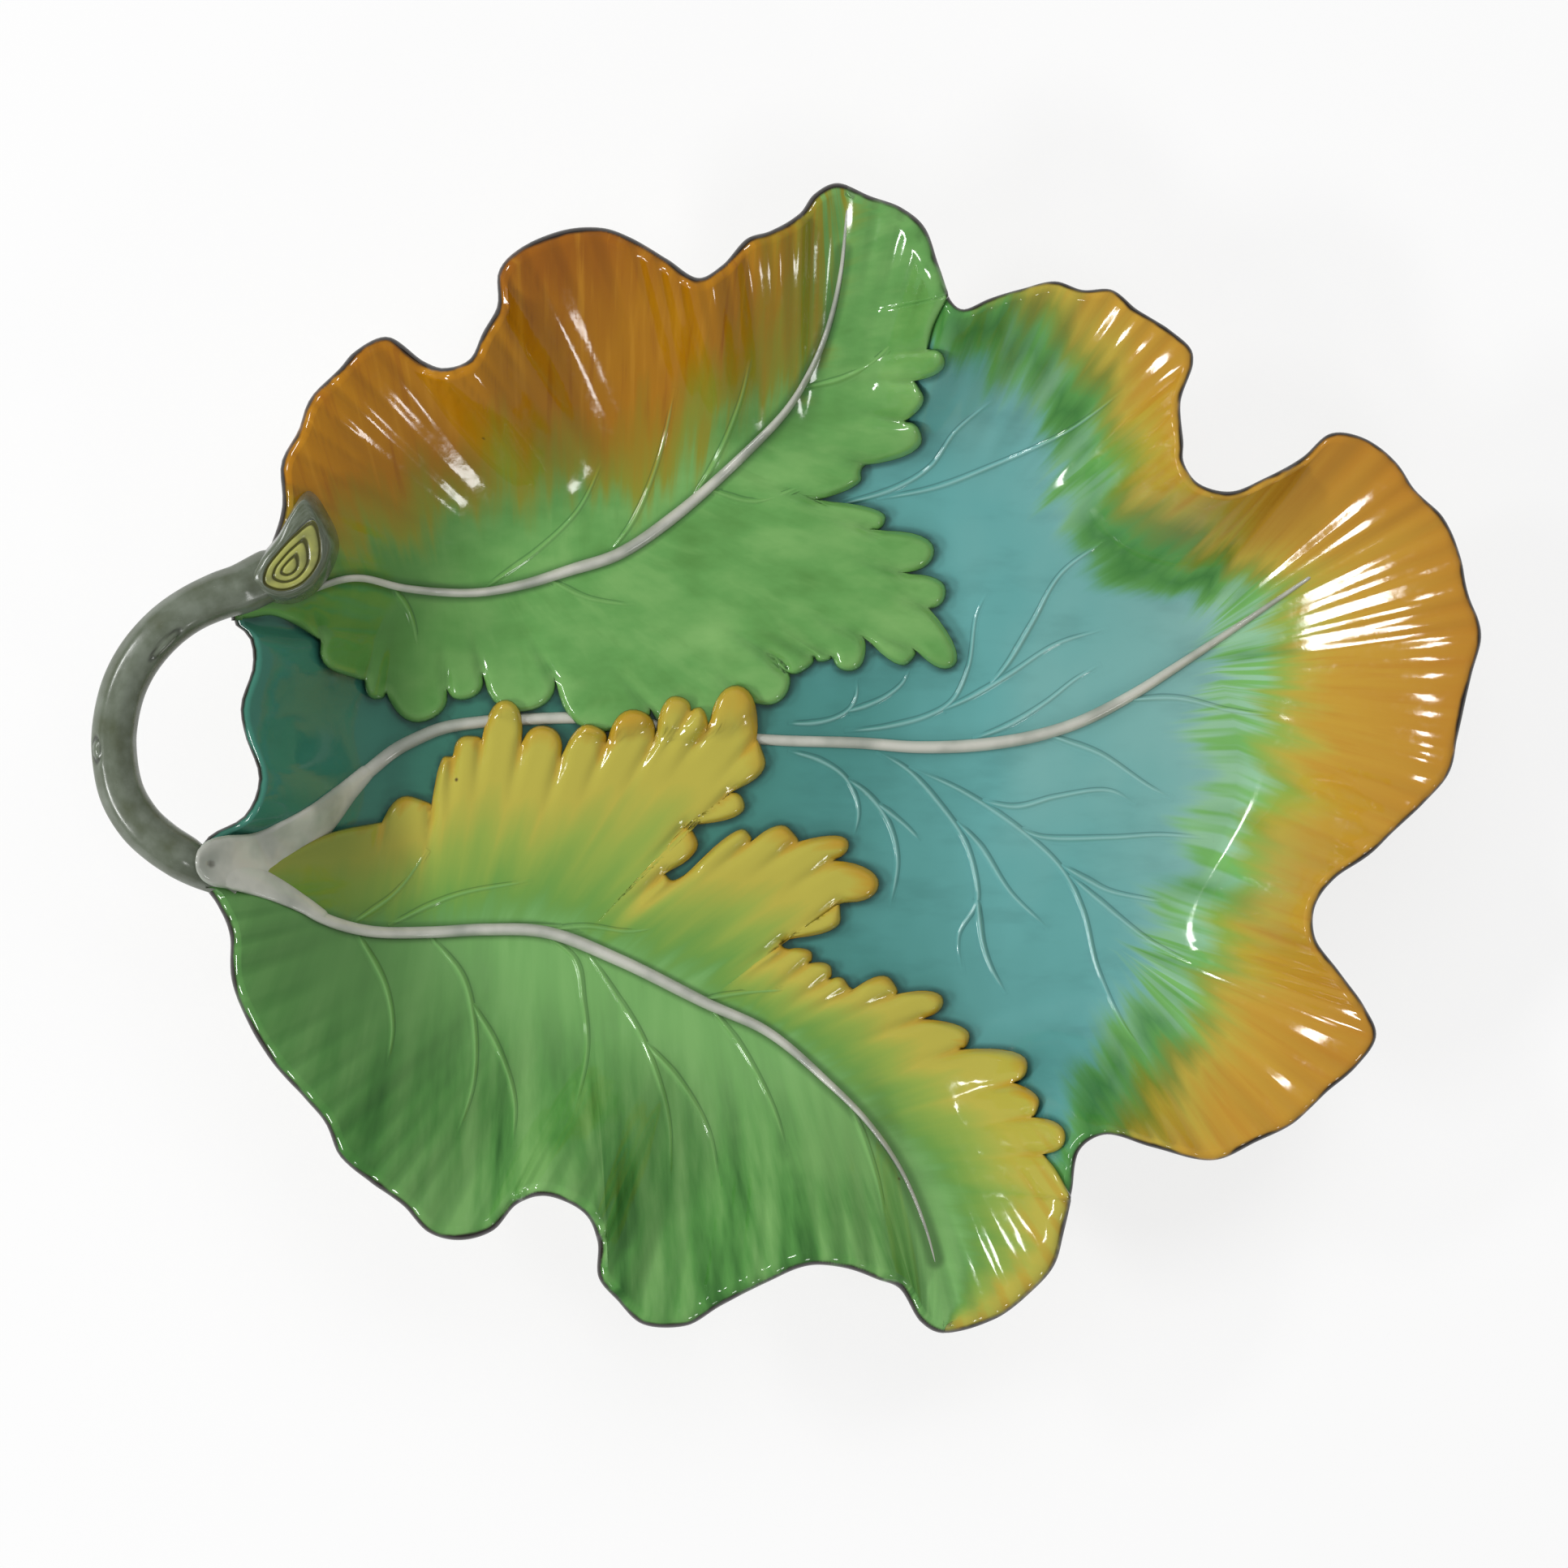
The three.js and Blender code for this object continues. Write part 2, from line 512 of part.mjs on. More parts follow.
// The turquoise rib lies low where the other two leaves cover it.
function turquoiseRibHeight({ x }) {
  const { from, to } = TURQUOISE_RIB_HIDDEN;
  const inwards = Math.min(x / drawingScale - from, to - x / drawingScale);
  return THREE.MathUtils.lerp(RIB_HEIGHT, HIDDEN_RIB_HEIGHT, smoothStep(inwards / RIB_RUN_OUT));
}

// The pieces
const upperOutline = leafOutline(UPPER_TEETH, UPPER_SURROUND);
const lowerOutline = leafOutline(LOWER_TEETH, LOWER_SURROUND);
const leafLayer = dishSolid(raisedBy(leafTop), raisedBy(SLIP_GAP));
const overDish = dishSolid(raisedBy(SLIP_GAP), wellBelow, SLIP_GAP);
const overLeaves = dishSolid(raisedBy((across) => leafTop(across) + SLIP_GAP), wellBelow, SLIP_GAP);

const turquoiseRib = (clearance) =>
  bar(TURQUOISE_RIB, 0, taper(TURQUOISE_RIB_WIDTH, RIB_TIP_WIDTH), turquoiseRibHeight, clearance);
const leafRib = (line, width) =>
  bar(line, leafTop(0), taper(width, RIB_TIP_WIDTH), () => RIB_HEIGHT);
const stalkTaper = taper(STALK_WIDTH, TURQUOISE_RIB_WIDTH);
const stalkWidth = (share) =>
  THREE.MathUtils.lerp(STALK_END_WIDTH, stalkTaper(share), smoothStep(share / STALK_WIDENS));

const channel = turquoiseRib(SLIP_GAP);
const lowerRoom = roomAround(leafBlock(lowerOutline), SLIP_GAP);
const twigOver = twigRod(SLIP_GAP);
const twigRoom = twigOver.add(twigOver.translate([0, 0, -TWIG_RADIUS]));
const turquoiseLeaf = dishSolid(raisedBy(0), raisedBy(-WALL));
const lowerLeaf = leafLayer.intersect(leafBlock(lowerOutline)).subtract(channel);
const upperLeaf = leafLayer.intersect(leafBlock(upperOutline)).subtract(lowerRoom).subtract(channel);
const stalkMain = bar(STALK_MAIN, SLIP_GAP, stalkWidth, () => STALK_HEIGHT);
const stalkBranchWidth = taper(STALK_BRANCH_WIDTH, LOWER_RIB_WIDTH);
const stalkBranch = bar(STALK_BRANCH, leafTop(0), stalkBranchWidth, () => RIB_HEIGHT);
const stalk = stalkMain
  .subtract(lowerRoom)
  .add(stalkBranch.subtract(overLeaves.intersect(lowerRoom)))
  .subtract(overDish)
  .subtract(twigRoom);
const turquoiseMidrib = turquoiseRib(0).subtract(overDish);
const upperMidrib = leafRib(UPPER_RIB, UPPER_RIB_WIDTH).subtract(overLeaves).subtract(twigOver);
const lowerMidrib = leafRib(LOWER_RIB, LOWER_RIB_WIDTH).subtract(overLeaves);
const twigHandle = twigRod(0).subtract(sawnWaste()).subtract(overLeaves);

// Glazes: colour and roughness of each piece
const GLAZES = {
  turquoise_leaf: 0x4b9c9c,
  upper_leaf: 0x7aa844,
  lower_leaf: 0x86a548,
  forked_stalk: 0xcfccc0,
  turquoise_midrib: 0xcfccc0,
  upper_midrib: 0xcfccc0,
  lower_midrib: 0xcfccc0,
  twig_handle: 0x6e705f,
  foot_ring: 0xd8d2c0,
};

// A named mesh of a solid, in its own glaze.
function piece(name, solid) {
  const { numProp, vertProperties, triVerts } = solid.getMesh();
  const geometry = new THREE.BufferGeometry();
  geometry.setAttribute("position", new THREE.BufferAttribute(vertProperties, numProp));
  geometry.setIndex(new THREE.BufferAttribute(triVerts, 1));
  geometry.computeVertexNormals();
  const material = new THREE.MeshStandardMaterial({ color: GLAZES[name], roughness: 0.15, metalness: 0 });
  const mesh = new THREE.Mesh(geometry, material);
  mesh.name = name;
  return mesh;
}

const leafDish = new THREE.Group();
leafDish.add(
  piece("turquoise_leaf", turquoiseLeaf),
  piece("upper_leaf", upperLeaf),
  piece("lower_leaf", lowerLeaf),
  piece("forked_stalk", stalk),
  piece("turquoise_midrib", turquoiseMidrib),
  piece("upper_midrib", upperMidrib),
  piece("lower_midrib", lowerMidrib),
  piece("twig_handle", twigHandle),
  piece("foot_ring", footRing()),
);

export default leafDish;
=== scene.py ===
"""Leaf dish: three overlapping glazed leaves with raised ribs, a twig handle and a foot ring.

The plan is drawn in millimetres, seen from above, with +X towards the right lobe and +Y towards
the brown leaf. Every piece is a surface over that plan, worked out with numpy.
"""
import logging
from dataclasses import dataclass, field
from enum import Enum
from typing import Callable, Sequence

import bmesh
import bpy
import numpy as np
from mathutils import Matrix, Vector


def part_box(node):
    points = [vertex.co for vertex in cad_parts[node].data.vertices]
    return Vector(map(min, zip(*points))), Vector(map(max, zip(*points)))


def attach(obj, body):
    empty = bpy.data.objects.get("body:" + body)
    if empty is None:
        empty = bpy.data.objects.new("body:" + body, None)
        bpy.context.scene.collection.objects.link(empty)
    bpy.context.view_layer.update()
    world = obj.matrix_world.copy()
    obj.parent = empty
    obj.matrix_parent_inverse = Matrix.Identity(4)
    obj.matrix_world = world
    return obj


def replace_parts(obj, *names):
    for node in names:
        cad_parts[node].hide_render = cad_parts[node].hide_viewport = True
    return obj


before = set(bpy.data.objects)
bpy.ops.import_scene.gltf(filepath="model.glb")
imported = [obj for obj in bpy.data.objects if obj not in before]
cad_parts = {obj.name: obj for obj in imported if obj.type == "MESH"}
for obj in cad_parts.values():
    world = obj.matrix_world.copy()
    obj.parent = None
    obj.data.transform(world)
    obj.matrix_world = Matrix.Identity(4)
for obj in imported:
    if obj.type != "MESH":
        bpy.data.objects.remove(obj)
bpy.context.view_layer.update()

Array = np.ndarray
Points = Sequence[tuple[float, float]]
Colour = tuple[int, int, int]
Stops = Sequence[tuple[float, Colour]]
Stretch = float | tuple[float, float, float]
Material = bpy.types.Material
Object = bpy.types.Object
Socket = bpy.types.NodeSocket
log = logging.getLogger("leaf_dish")

# A millimetre and the merging distance in metres, the numbers in one block of a search, and the
# glaze's refraction and ripples.
MM = 0.001
MERGE_DISTANCE = 2e-6
BLOCK_SIZE = 6_000_000
GLAZE_IOR = 1.52
RIPPLE_DEPTH = 0.0012

# The rim, clockwise from the upper foot of the handle: lobes, notches and small scallops.
RIM: Points = [
    (-124.5, 62), (-124.7, 73), (-120.6, 80.7), (-117.8, 88.5), (-110.5, 96), (-107, 100),
    (-99, 103.8), (-90, 97.8), (-85, 96), (-78.5, 98), (-75, 105), (-71.5, 111.5), (-71.2, 120),
    (-67, 125), (-56, 130), (-46, 130.7), (-39, 128.3), (-30, 123), (-22, 118.2), (-16, 121.5),
    (-10, 128), (-4, 130), (3, 134.3), (6.5, 139), (12, 141.8), (20, 138.7), (28, 135.7),
    (33.5, 131), (37, 121.5), (40.5, 112.5), (43, 110.8), (50, 113.6), (58, 116), (66, 117.8),
    (72.5, 115.7), (80, 115.7), (86, 111), (94, 106), (99.5, 101), (100, 97.5), (96.9, 88),
    (97.5, 78), (97.6, 73), (101, 68), (109, 65.9), (118, 69.4), (127, 74.4), (134, 80.3),
    (142, 79.3), (150, 73.5), (155, 66.3), (162, 59.5), (166, 50.5), (168, 41), (171.3, 31),
    (168.7, 20), (165.3, 5), (163.3, -3.5), (156.5, -11.5), (149.5, -18), (143.5, -23.8),
    (134.5, -30), (130, -36.5), (130, -44), (136, -52.5), (142.5, -61.5), (145.3, -68.5),
    (140.5, -76), (133, -82.5), (124.5, -90.3), (116, -94.5), (105, -99.2), (90, -96),
    (78, -92.8), (72, -96.5), (70, -107), (67.8, -117), (65.5, -125), (59, -132.3), (51, -138.2),
    (38, -141.6), (33, -139), (27.5, -130.5), (22, -128.2), (14.5, -125.5), (5, -124.8),
    (-6, -129.3), (-17, -135), (-25, -139.7), (-36, -139.3), (-42, -133.5), (-46.5, -128),
    (-46.8, -119), (-50, -112), (-60, -107.6), (-67, -109.8), (-73, -116.3), (-81, -118.6),
    (-88.5, -116.8), (-95, -110), (-103, -104.3), (-110.5, -97.8), (-113.8, -90), (-119, -83.7),
    (-126.5, -75.5), (-132.5, -66), (-137, -54.5), (-137.5, -43), (-140.5, -36), (-144, -31),
    (-146, -25), (-143, -19.3), (-134, -14), (-130.5, -5), (-134, 6), (-135, 13), (-132, 23),
    (-133, 30), (-137, 34), (-133, 42), (-127.5, 52),
]

# Toothed edges: slit, lobe tip, slit, lobe tip, and so on to the last slit.
UPPER_TEETH: Points = [
    (-115.7, 29), (-111.5, 21), (-105.3, 19.3), (-102.8, 14.6), (-100, 16.2), (-90, 9.2),
    (-85, 17), (-79.2, 14.8), (-76, 21), (-66, 11.5), (-57.8, 19.5), (-45, 6.5), (-34, 12),
    (-20, 7), (-9, 14), (0.3, 17), (-4.2, 25.5), (3.3, 21.3), (6.5, 25.2), (9, 24), (11, 25.4),
    (16, 21.7), (19.3, 30), (30, 23.5), (31.8, 27), (41.5, 23), (35.4, 37.3), (39.5, 42),
    (28.3, 46.1), (36.6, 52), (21.2, 56.8), (24.5, 60), (7.3, 64.3), (18.5, 70), (19.6, 73),
    (33.5, 79.5), (29.1, 83.7), (33.5, 90.5), (31.5, 93.5), (39, 98), (34.6, 101.1),
]
LOWER_TEETH: Points = [
    (-101, -15.6), (-93.5, -9.3), (-88.7, -11.2), (-85.3, 0.8), (-83.4, 1), (-79.8, 5.9),
    (-76.2, 5), (-69.8, 14.8), (-66.3, 4), (-59.7, 8.2), (-56.5, 0.3), (-48.7, 8.6), (-45, 4.2),
    (-37.8, 12.4), (-33, 5.2), (-28, 15.8), (-24, 12.2), (-22.2, 13), (-19.6, 8), (-12.5, 18.4),
    (-7.6, 5), (-5.6, 0.2), (-14, -8.2), (-10.6, -12), (-25.5, -16.6), (-22.4, -20.2),
    (-30.5, -28.4), (-29.4, -29.8), (-24, -27.4), (-10.5, -17.6), (-9, -20.5), (0.4, -17.2),
    (2.8, -20.5), (15.2, -20.6), (11.5, -25.2), (22.8, -31.4), (13, -35.8), (13.3, -40),
    (-0.6, -44.9), (-1.4, -46), (0.6, -47.2), (6.2, -48.6), (5.4, -50.8), (11, -52.2),
    (10.4, -54.8), (14.6, -55.4), (16.5, -57.2), (25.8, -54.8), (27.3, -58.5), (38.8, -59.8),
    (33.8, -64.7), (45.4, -69), (43, -72.3), (59.6, -75.4), (56, -80.3), (62.3, -85.6),
    (60.5, -88.7), (68.6, -93), (63.2, -97.7),
]

# Plain edges of the leaves, before the first slit and after the last.
UPPER_LEAD: Points = [(-137, 34), (-132, 34.6), (-127.5, 35.2), (-122.8, 33.4), (-115.7, 29)]
UPPER_TRAIL: Points = [(36, 106.6), (39.6, 114)]
LOWER_LEAD: Points = [
    (-143.5, -32), (-138, -30), (-132, -27), (-124, -23), (-117, -19.5), (-110.6, -17.4),
    (-101, -15.6),
]
LOWER_TRAIL: Points = [(66, -101), (69.8, -108)]

# Places of a leaf's midrib, each with the place of the rim that a side vein from it runs to.
UPPER_PAIRS: Sequence[Points] = [
    ((-137, 34), (-137, 34)), ((-116, 42.4), (-124.6, 66)), ((-95, 42.3), (-110, 96.5)),
    ((-78, 41.3), (-85, 96)), ((-60, 45), (-62, 127.5)), ((-42, 51), (-39, 128.3)),
    ((-25, 63), (-20, 119)), ((-10, 76.5), (-8, 129)), ((3, 91.5), (5, 137)),
    ((14.6, 141.3), (14.6, 141)),
]
LOWER_PAIRS: Sequence[Points] = [
    ((-143.5, -32), (-143.5, -32)), ((-128, -32), (-138, -50)), ((-104, -42.8), (-115, -89)),
    ((-80, -42.6), (-84, -118)), ((-60, -43.2), (-60, -107.6)), ((-45, -49), (-44, -131)),
    ((-20, -61), (-8, -130)), ((0, -71.5), (14, -125.7)), ((16, -86), (28, -131)),
    ((38.5, -141.3), (38.5, -141.5)),
]

# Middle lines of the ribs, from the stalk to the tip.
TURQUOISE_RIB: Points = [
    (-106, -4.5), (-98, 2), (-92, 5.2), (-86, 7.6), (-76, 9.2), (-64, 9.9), (-50, 10.1), (-30, 8),
    (-7.2, 4.9), (18, 3.9), (32, 2.9), (46, 3.3), (60, 5.3), (72, 8.9), (84, 14.9), (100, 25),
    (115, 35), (130, 45.3),
]
UPPER_RIB: Points = [
    (-118, 41.5), (-110, 44.3), (-105, 44.6), (-95, 42.3), (-78, 41.3), (-66, 43.3), (-54, 47),
    (-42, 51), (-28, 60.5), (-10, 76.5), (0, 87), (6, 97), (10, 107), (13, 120), (14.6, 136),
]
LOWER_RIB: Points = [
    (-122, -35.2), (-114.6, -39.7), (-104, -42.8), (-90, -43.2), (-75, -42.5), (-60, -43.2),
    (-42, -50.1), (-20, -61), (-5, -68), (10, -80.5), (20, -90.5), (28, -102), (34, -116),
    (37, -127),
]
STALK_MAIN: Points = [
    (-146.2, -25.2), (-138, -25.5), (-130, -24.6), (-122, -20), (-116, -15), (-110, -8.7),
    (-103.6, -2.1),
]
STALK_BRANCH: Points = [(-144, -27), (-136, -28.6), (-128, -31.6), (-120, -36), (-114, -39.9)]

# Side veins: one line each, from the rib outwards.
TURQUOISE_VEINS: Sequence[Points] = [
    [(0, 8.7), (7, 8.9), (12, 10.2), (15.5, 12.5), (17, 15.5), (17.3, 20)],
    [(14, 11.5), (20, 13.3), (25, 15.8), (28.5, 18.8), (30.5, 22.5)],
    [(14, 6.7), (25, 8), (35, 10.7), (41, 14.5), (45, 23), (47, 36), (50, 42)],
    [(37, 11.5), (45, 15), (55, 20.8), (67, 28.5), (80, 32.5)],
    [(50, 17.8), (55, 24), (61, 34), (68, 46), (80, 55)],
    [(46, 4.8), (55, 8.3), (64, 13.8), (72, 20), (78, 23.5)],
    [(64, 6.2), (70, 4.1), (78, 1), (90, -7), (96, -10)],
    [(83, 14.5), (97, 15), (110, 12), (122, 10.5)],
    [(0, 2), (8, -0.5), (14, -4.5), (17, -10), (17.5, -14), (16.3, -20)],
    [(14, -4.5), (20, -9), (25, -16), (27.2, -25), (25.5, -37)],
    [(22, -11), (29, -16.5), (33, -20.5)],
    [(22, 2), (30, -3), (37, -10.5), (44, -20.5), (47, -31), (47, -36), (42.5, -44), (43.5, -53.5)],
    [(47, -34), (48.5, -46), (51, -53), (54.5, -58.7)],
    [(42, -15.5), (48, -22), (55.5, -33.5), (65, -42.5)],
    [(30, -2), (44, -8.5), (60, -19.5), (68.5, -28), (73.5, -38), (77, -52), (84, -67), (90, -74)],
    [(48, -10.5), (57, -12), (67, -9.5), (80, -8), (87, -11.5)],
    [(57, -17), (63, -19.5), (80, -19.7), (93, -19), (106, -20)],
    [(68, -26.5), (75, -30.5), (80, -33), (95, -36)],
    [(70, -29), (77, -35), (91, -46), (102, -51.5)],
    [(12, 63), (26, 67), (35.4, 72.6), (41.7, 81.3), (51, 89)],
    [(22, 64.5), (37, 67.5), (49, 72), (69, 81), (84, 91.6)],
]
UPPER_VEINS: Sequence[Points] = [
    [(-76, 42), (-71, 45.5), (-62, 52), (-52, 62), (-46, 74)],
    [(-44, 51.5), (-38, 60), (-32, 75), (-28, 92)],
    [(-24, 64.5), (-18, 74), (-12, 88), (-9, 100)],
    [(4, 92), (14, 94.5), (22, 99), (28, 106)],
    [(-98, 42.5), (-94, 36), (-92, 27)],
    [(-60, 44.8), (-50, 40), (-38, 38)],
    [(-20, 67), (-8, 64), (4, 68)],
]
LOWER_VEINS: Sequence[Points] = [
    [(-107, -43), (-100, -56), (-98, -66), (-99, -76)],
    [(-89, -44), (-81, -54), (-78, -66), (-78, -80), (-82, -94)],
    [(-79, -60), (-72, -72), (-68, -84), (-68, -96)],
    [(-60, -44), (-53, -50), (-51, -60), (-50, -72), (-53, -88)],
    [(-50, -48), (-43, -58.5), (-36, -70), (-30, -88), (-29, -106)],
    [(-36, -70), (-27, -80), (-20, -92), (-17, -106)],
    [(-20, -61), (-11.5, -72), (-4, -86), (0, -98)],
    [(15.5, -86.5), (18, -92), (22, -104), (24, -114)],
    [(-108, -41), (-97.4, -33.2), (-89.6, -22.6)],
    [(-99.3, -41.5), (-82.9, -34.1), (-63.6, -30.3)],
    [(-78, -42.8), (-66, -41.6), (-54, -41.9)],
    [(-62, -43), (-50, -41.8), (-40, -43), (-32, -42)],
    [(-22, -60), (-10, -58.2), (0, -57.5)],
]

# Middle line of the twig, from the foot at the stalk round the loop to the stub.
TWIG: Points = [
    (-136, -33), (-143.5, -28.3), (-148.5, -24.7), (-154.2, -20.9), (-159.7, -15.8), (-164.2, -8),
    (-166, 3), (-165.4, 10.5), (-163.3, 18.2), (-159.5, 25.2), (-153.5, 32), (-147.2, 36.6),
    (-140, 40), (-134.6, 41.8), (-129, 44.6), (-122.5, 48),
]
STUB: Points = [
    (-118.9, 63.2), (-114.6, 58), (-112.6, 52.2), (-114.2, 46.6), (-117.8, 42), (-123, 39.6),
    (-128.4, 40.6), (-131.3, 44), (-129.6, 48.4), (-125.6, 53.6),
]
FACE: Points = [
    (-116.6, 58.2), (-115, 54), (-115.4, 48.3), (-119.6, 43), (-124.8, 41.3), (-128.9, 43),
    (-128.4, 46.4), (-125.4, 50.6), (-121, 55.2),
]


class Layer(str, Enum):
    """Names of the values that a mesh carries for its glaze, in millimetres where they are lengths."""

    FLOW = "flow"
    PAINT = "paint"
    RIM = "rim_distance"
    EDGE = "edge_distance"
    POOL_AND_SHADE = "pool_and_shade_distance"
    CREST = "crest"
    RIDGE = "ridge"
    FRINGE = "fringe"


class Facing(Enum):
    """Which way the faces of an open surface point."""

    UP = 1
    DOWN = -1
    OUT = 0


def smooth(value: Array | float, low: float = 0.0, high: float = 1.0) -> Array:
    """Smooth step from 0 at low to 1 at high.

    Args:
        value: Numbers to map.
        low: Where the step begins.
        high: Where it ends.

    Returns:
        The mapped numbers, t * t * (3 - 2 t).
    """
    t = np.clip((np.asarray(value, float) - low) / (high - low), 0, 1)
    return t * t * (3 - 2 * t)


def lerp(a: Array, b: Array, share: Array | float) -> Array:
    """Straight way from a to b."""
    return a + (b - a) * share


def travelled(line: Array) -> Array:
    """Length along a line of points, from its first point to each of them."""
    return np.concatenate([[0.0], np.cumsum(np.linalg.norm(np.diff(line, axis=0), axis=1))])


def read_line(line: Array, marks: Array, wanted: Array) -> Array:
    """A line whose points stand at marks, read at wanted marks."""
    return np.stack([np.interp(wanted, marks, axis) for axis in line.T], -1)


def spline(points: Sequence, count: int, closed: bool = False) -> Array:
    """Smooth line through points, walked in equal steps.

    Each stretch is a cubic whose end slopes are the weighted mean of its neighbours' slopes, with
    the square root of each chord as the parameter's step.

    Args:
        points: Points of the line, each with two or more coordinates.
        count: Number of points to give back.
        closed: Whether the line runs back to its first point.

    Returns:
        An array of count points.
    """
    knots = np.asarray(points, float)
    before = knots[-1:] if closed else 2 * knots[:1] - knots[1:2]
    after = knots[:2] if closed else 2 * knots[-1:] - knots[-2:-1]
    knots = np.vstack([before, knots, after])
    steps = np.sqrt(np.linalg.norm(np.diff(knots, axis=0), axis=1))[:, None]
    slopes = np.diff(knots, axis=0) / steps
    tangents = (slopes[:-1] * steps[1:] + slopes[1:] * steps[:-1]) / (steps[:-1] + steps[1:])
    inner, spans = knots[1:-1], steps[1:-1, 0]
    ends = np.concatenate([[0.0], np.cumsum(spans)])
    place = np.linspace(0, ends[-1], 48 * len(inner))
    at = np.clip(np.searchsorted(ends, place, side="right") - 1, 0, len(spans) - 1)
    t = ((place - ends[at]) / spans[at])[:, None]
    span = spans[at][:, None]
    fine = (
        (1 + 2 * t) * (1 - t) ** 2 * inner[at]
        + t * (1 - t) ** 2 * span * tangents[at]
        + t * t * (3 - 2 * t) * inner[at + 1]
        + t * t * (t - 1) * span * tangents[at + 1]
    )
    length = travelled(fine)
    return read_line(fine, length, np.linspace(0, length[-1], count, endpoint=not closed))


def averaged(values: Array, reach: int) -> Array:
    """Means of a closed row of values, with weights that fall evenly to nothing.

    Args:
        values: The row.
        reach: Number of entries on each side.

    Returns:
        The row of means.
    """
    weights = 1 - np.abs(np.arange(-reach, reach + 1)) / (reach + 1)
    return np.convolve(np.pad(values, reach, mode="wrap"), weights / weights.sum(), "valid")


def unit(vectors: Array) -> Array:
    """Vectors at length 1."""
    return vectors / np.maximum(np.linalg.norm(vectors, axis=-1, keepdims=True), 1e-9)


def headings(line: Array) -> Array:
    """Unit directions along the points of a line."""
    return unit(np.gradient(line, axis=0))


def left_of(way: Array) -> Array:
    """Directions turned a quarter to the left."""
    return np.stack([-way[..., 1], way[..., 0]], -1)


def bearing(plan: Array) -> Array:
    """Polar angles of places of the plan."""
    return np.arctan2(plan[..., 1], plan[..., 0])


def line_length(line: Array) -> float:
    """Length of a line of points."""
    return float(np.linalg.norm(np.diff(line, axis=0), axis=1).sum())


def dense(line: Array, step: float = 0.5) -> Array:
    """A line of points, walked in short equal steps along its straight stretches."""
    length = travelled(line)
    return read_line(line, length, np.linspace(0, length[-1], int(length[-1] / step)))


def by_blocks(places: Array, dots: Array, pick: Callable[[Array], Array]) -> Array:
    """What a function picks from the squared distances of each place to all dots, block by block.

    Args:
        places: Array of shape (..., 2) or (..., 3).
        dots: Points with as many coordinates.
        pick: Takes squared distances of shape (places, dots) and gives one number for each place.

    Returns:
        Numbers of shape (...).
    """
    flat, spots = (a.reshape(-1, a.shape[-1]).astype(np.float32) for a in (places, dots))
    blocks = np.array_split(flat, len(flat) * len(spots) // BLOCK_SIZE + 1)
    found = [pick(((block[:, None] - spots[None]) ** 2).sum(-1)) for block in blocks]
    return np.concatenate(found).reshape(places.shape[:-1])


def distance_to(places: Array, line: Array) -> Array:
    """Shortest distance, in plan or in space, from each place to the points of a line."""
    return np.sqrt(by_blocks(places, line, lambda squares: squares.min(1)))


def stack(plan: Array, height: Array) -> Array:
    """Plan places and heights as points."""
    return np.concatenate([plan, height[..., None]], axis=-1)


def make_piece(
    name: str,
    points: Array,
    facing: Facing,
    layers: dict[Layer, Array],
    glaze: Material,
    wrap: bool = False,
) -> Object:
    """A piece from a grid of points, riding on the dish.

    Args:
        name: Name of the object.
        points: Grid of shape (rows, columns, 3) in millimetres.
        facing: Which way its faces point.
        layers: Values for its glaze, each of shape (rows, columns) or (rows, columns, 3).
        glaze: Its material.
        wrap: Whether the last column joins the first.

    Returns:
        The new object.
    """
    rows, columns = points.shape[:2]
    row = np.arange(rows - 1)[:, None]
    column = np.arange(columns if wrap else columns - 1)[None]
    ahead = (column + 1) % columns
    corners = [row * columns + column, row * columns + ahead]
    corners += [corners[1] + columns, corners[0] + columns]
    quads = np.stack(corners, -1).reshape(-1, 4)
    flat = points.reshape(-1, 3)
    across = np.cross(flat[quads[:, 2]] - flat[quads[:, 0]], flat[quads[:, 3]] - flat[quads[:, 1]])
    if facing is not Facing.OUT and across[:, 2].sum() * facing.value < 0:
        quads = quads[:, ::-1]
    mesh = bpy.data.meshes.new(name)
    mesh.vertices.add(len(flat))
    mesh.vertices.foreach_set("co", (flat * MM).ravel())
    mesh.loops.add(quads.size)
    mesh.loops.foreach_set("vertex_index", quads.ravel())
    mesh.polygons.add(len(quads))
    mesh.polygons.foreach_set("loop_start", np.arange(0, quads.size, 4))
    mesh.polygons.foreach_set("use_smooth", np.ones(len(quads), bool))
    mesh.update(calc_edges=True)
    for layer, values in layers.items():
        vector = values.ndim == 3
        data = mesh.attributes.new(layer.value, "FLOAT_VECTOR" if vector else "FLOAT", "POINT").data
        data.foreach_set("vector" if vector else "value", values.astype(np.float32).ravel())
    shell = bmesh.new()
    shell.from_mesh(mesh)
    bmesh.ops.remove_doubles(shell, verts=shell.verts, dist=MERGE_DISTANCE)
    if facing is Facing.OUT:
        bmesh.ops.recalc_face_normals(shell, faces=shell.faces)
    shell.to_mesh(mesh)
    shell.free()
    mesh.materials.append(glaze)
    piece = bpy.data.objects.new(name, mesh)
    bpy.context.scene.collection.objects.link(piece)
    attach(piece, "root")
    log.info("%s: %d faces", name, len(mesh.polygons))
    return piece


@dataclass
class Survey:
    """What the dish's form gives at places of the plan."""

    plan: Array
    angle: Array
    radius: Array
    arc: Array
    across: Array
    inward: Array
    height: Array
    upright: Array
    crest: Array


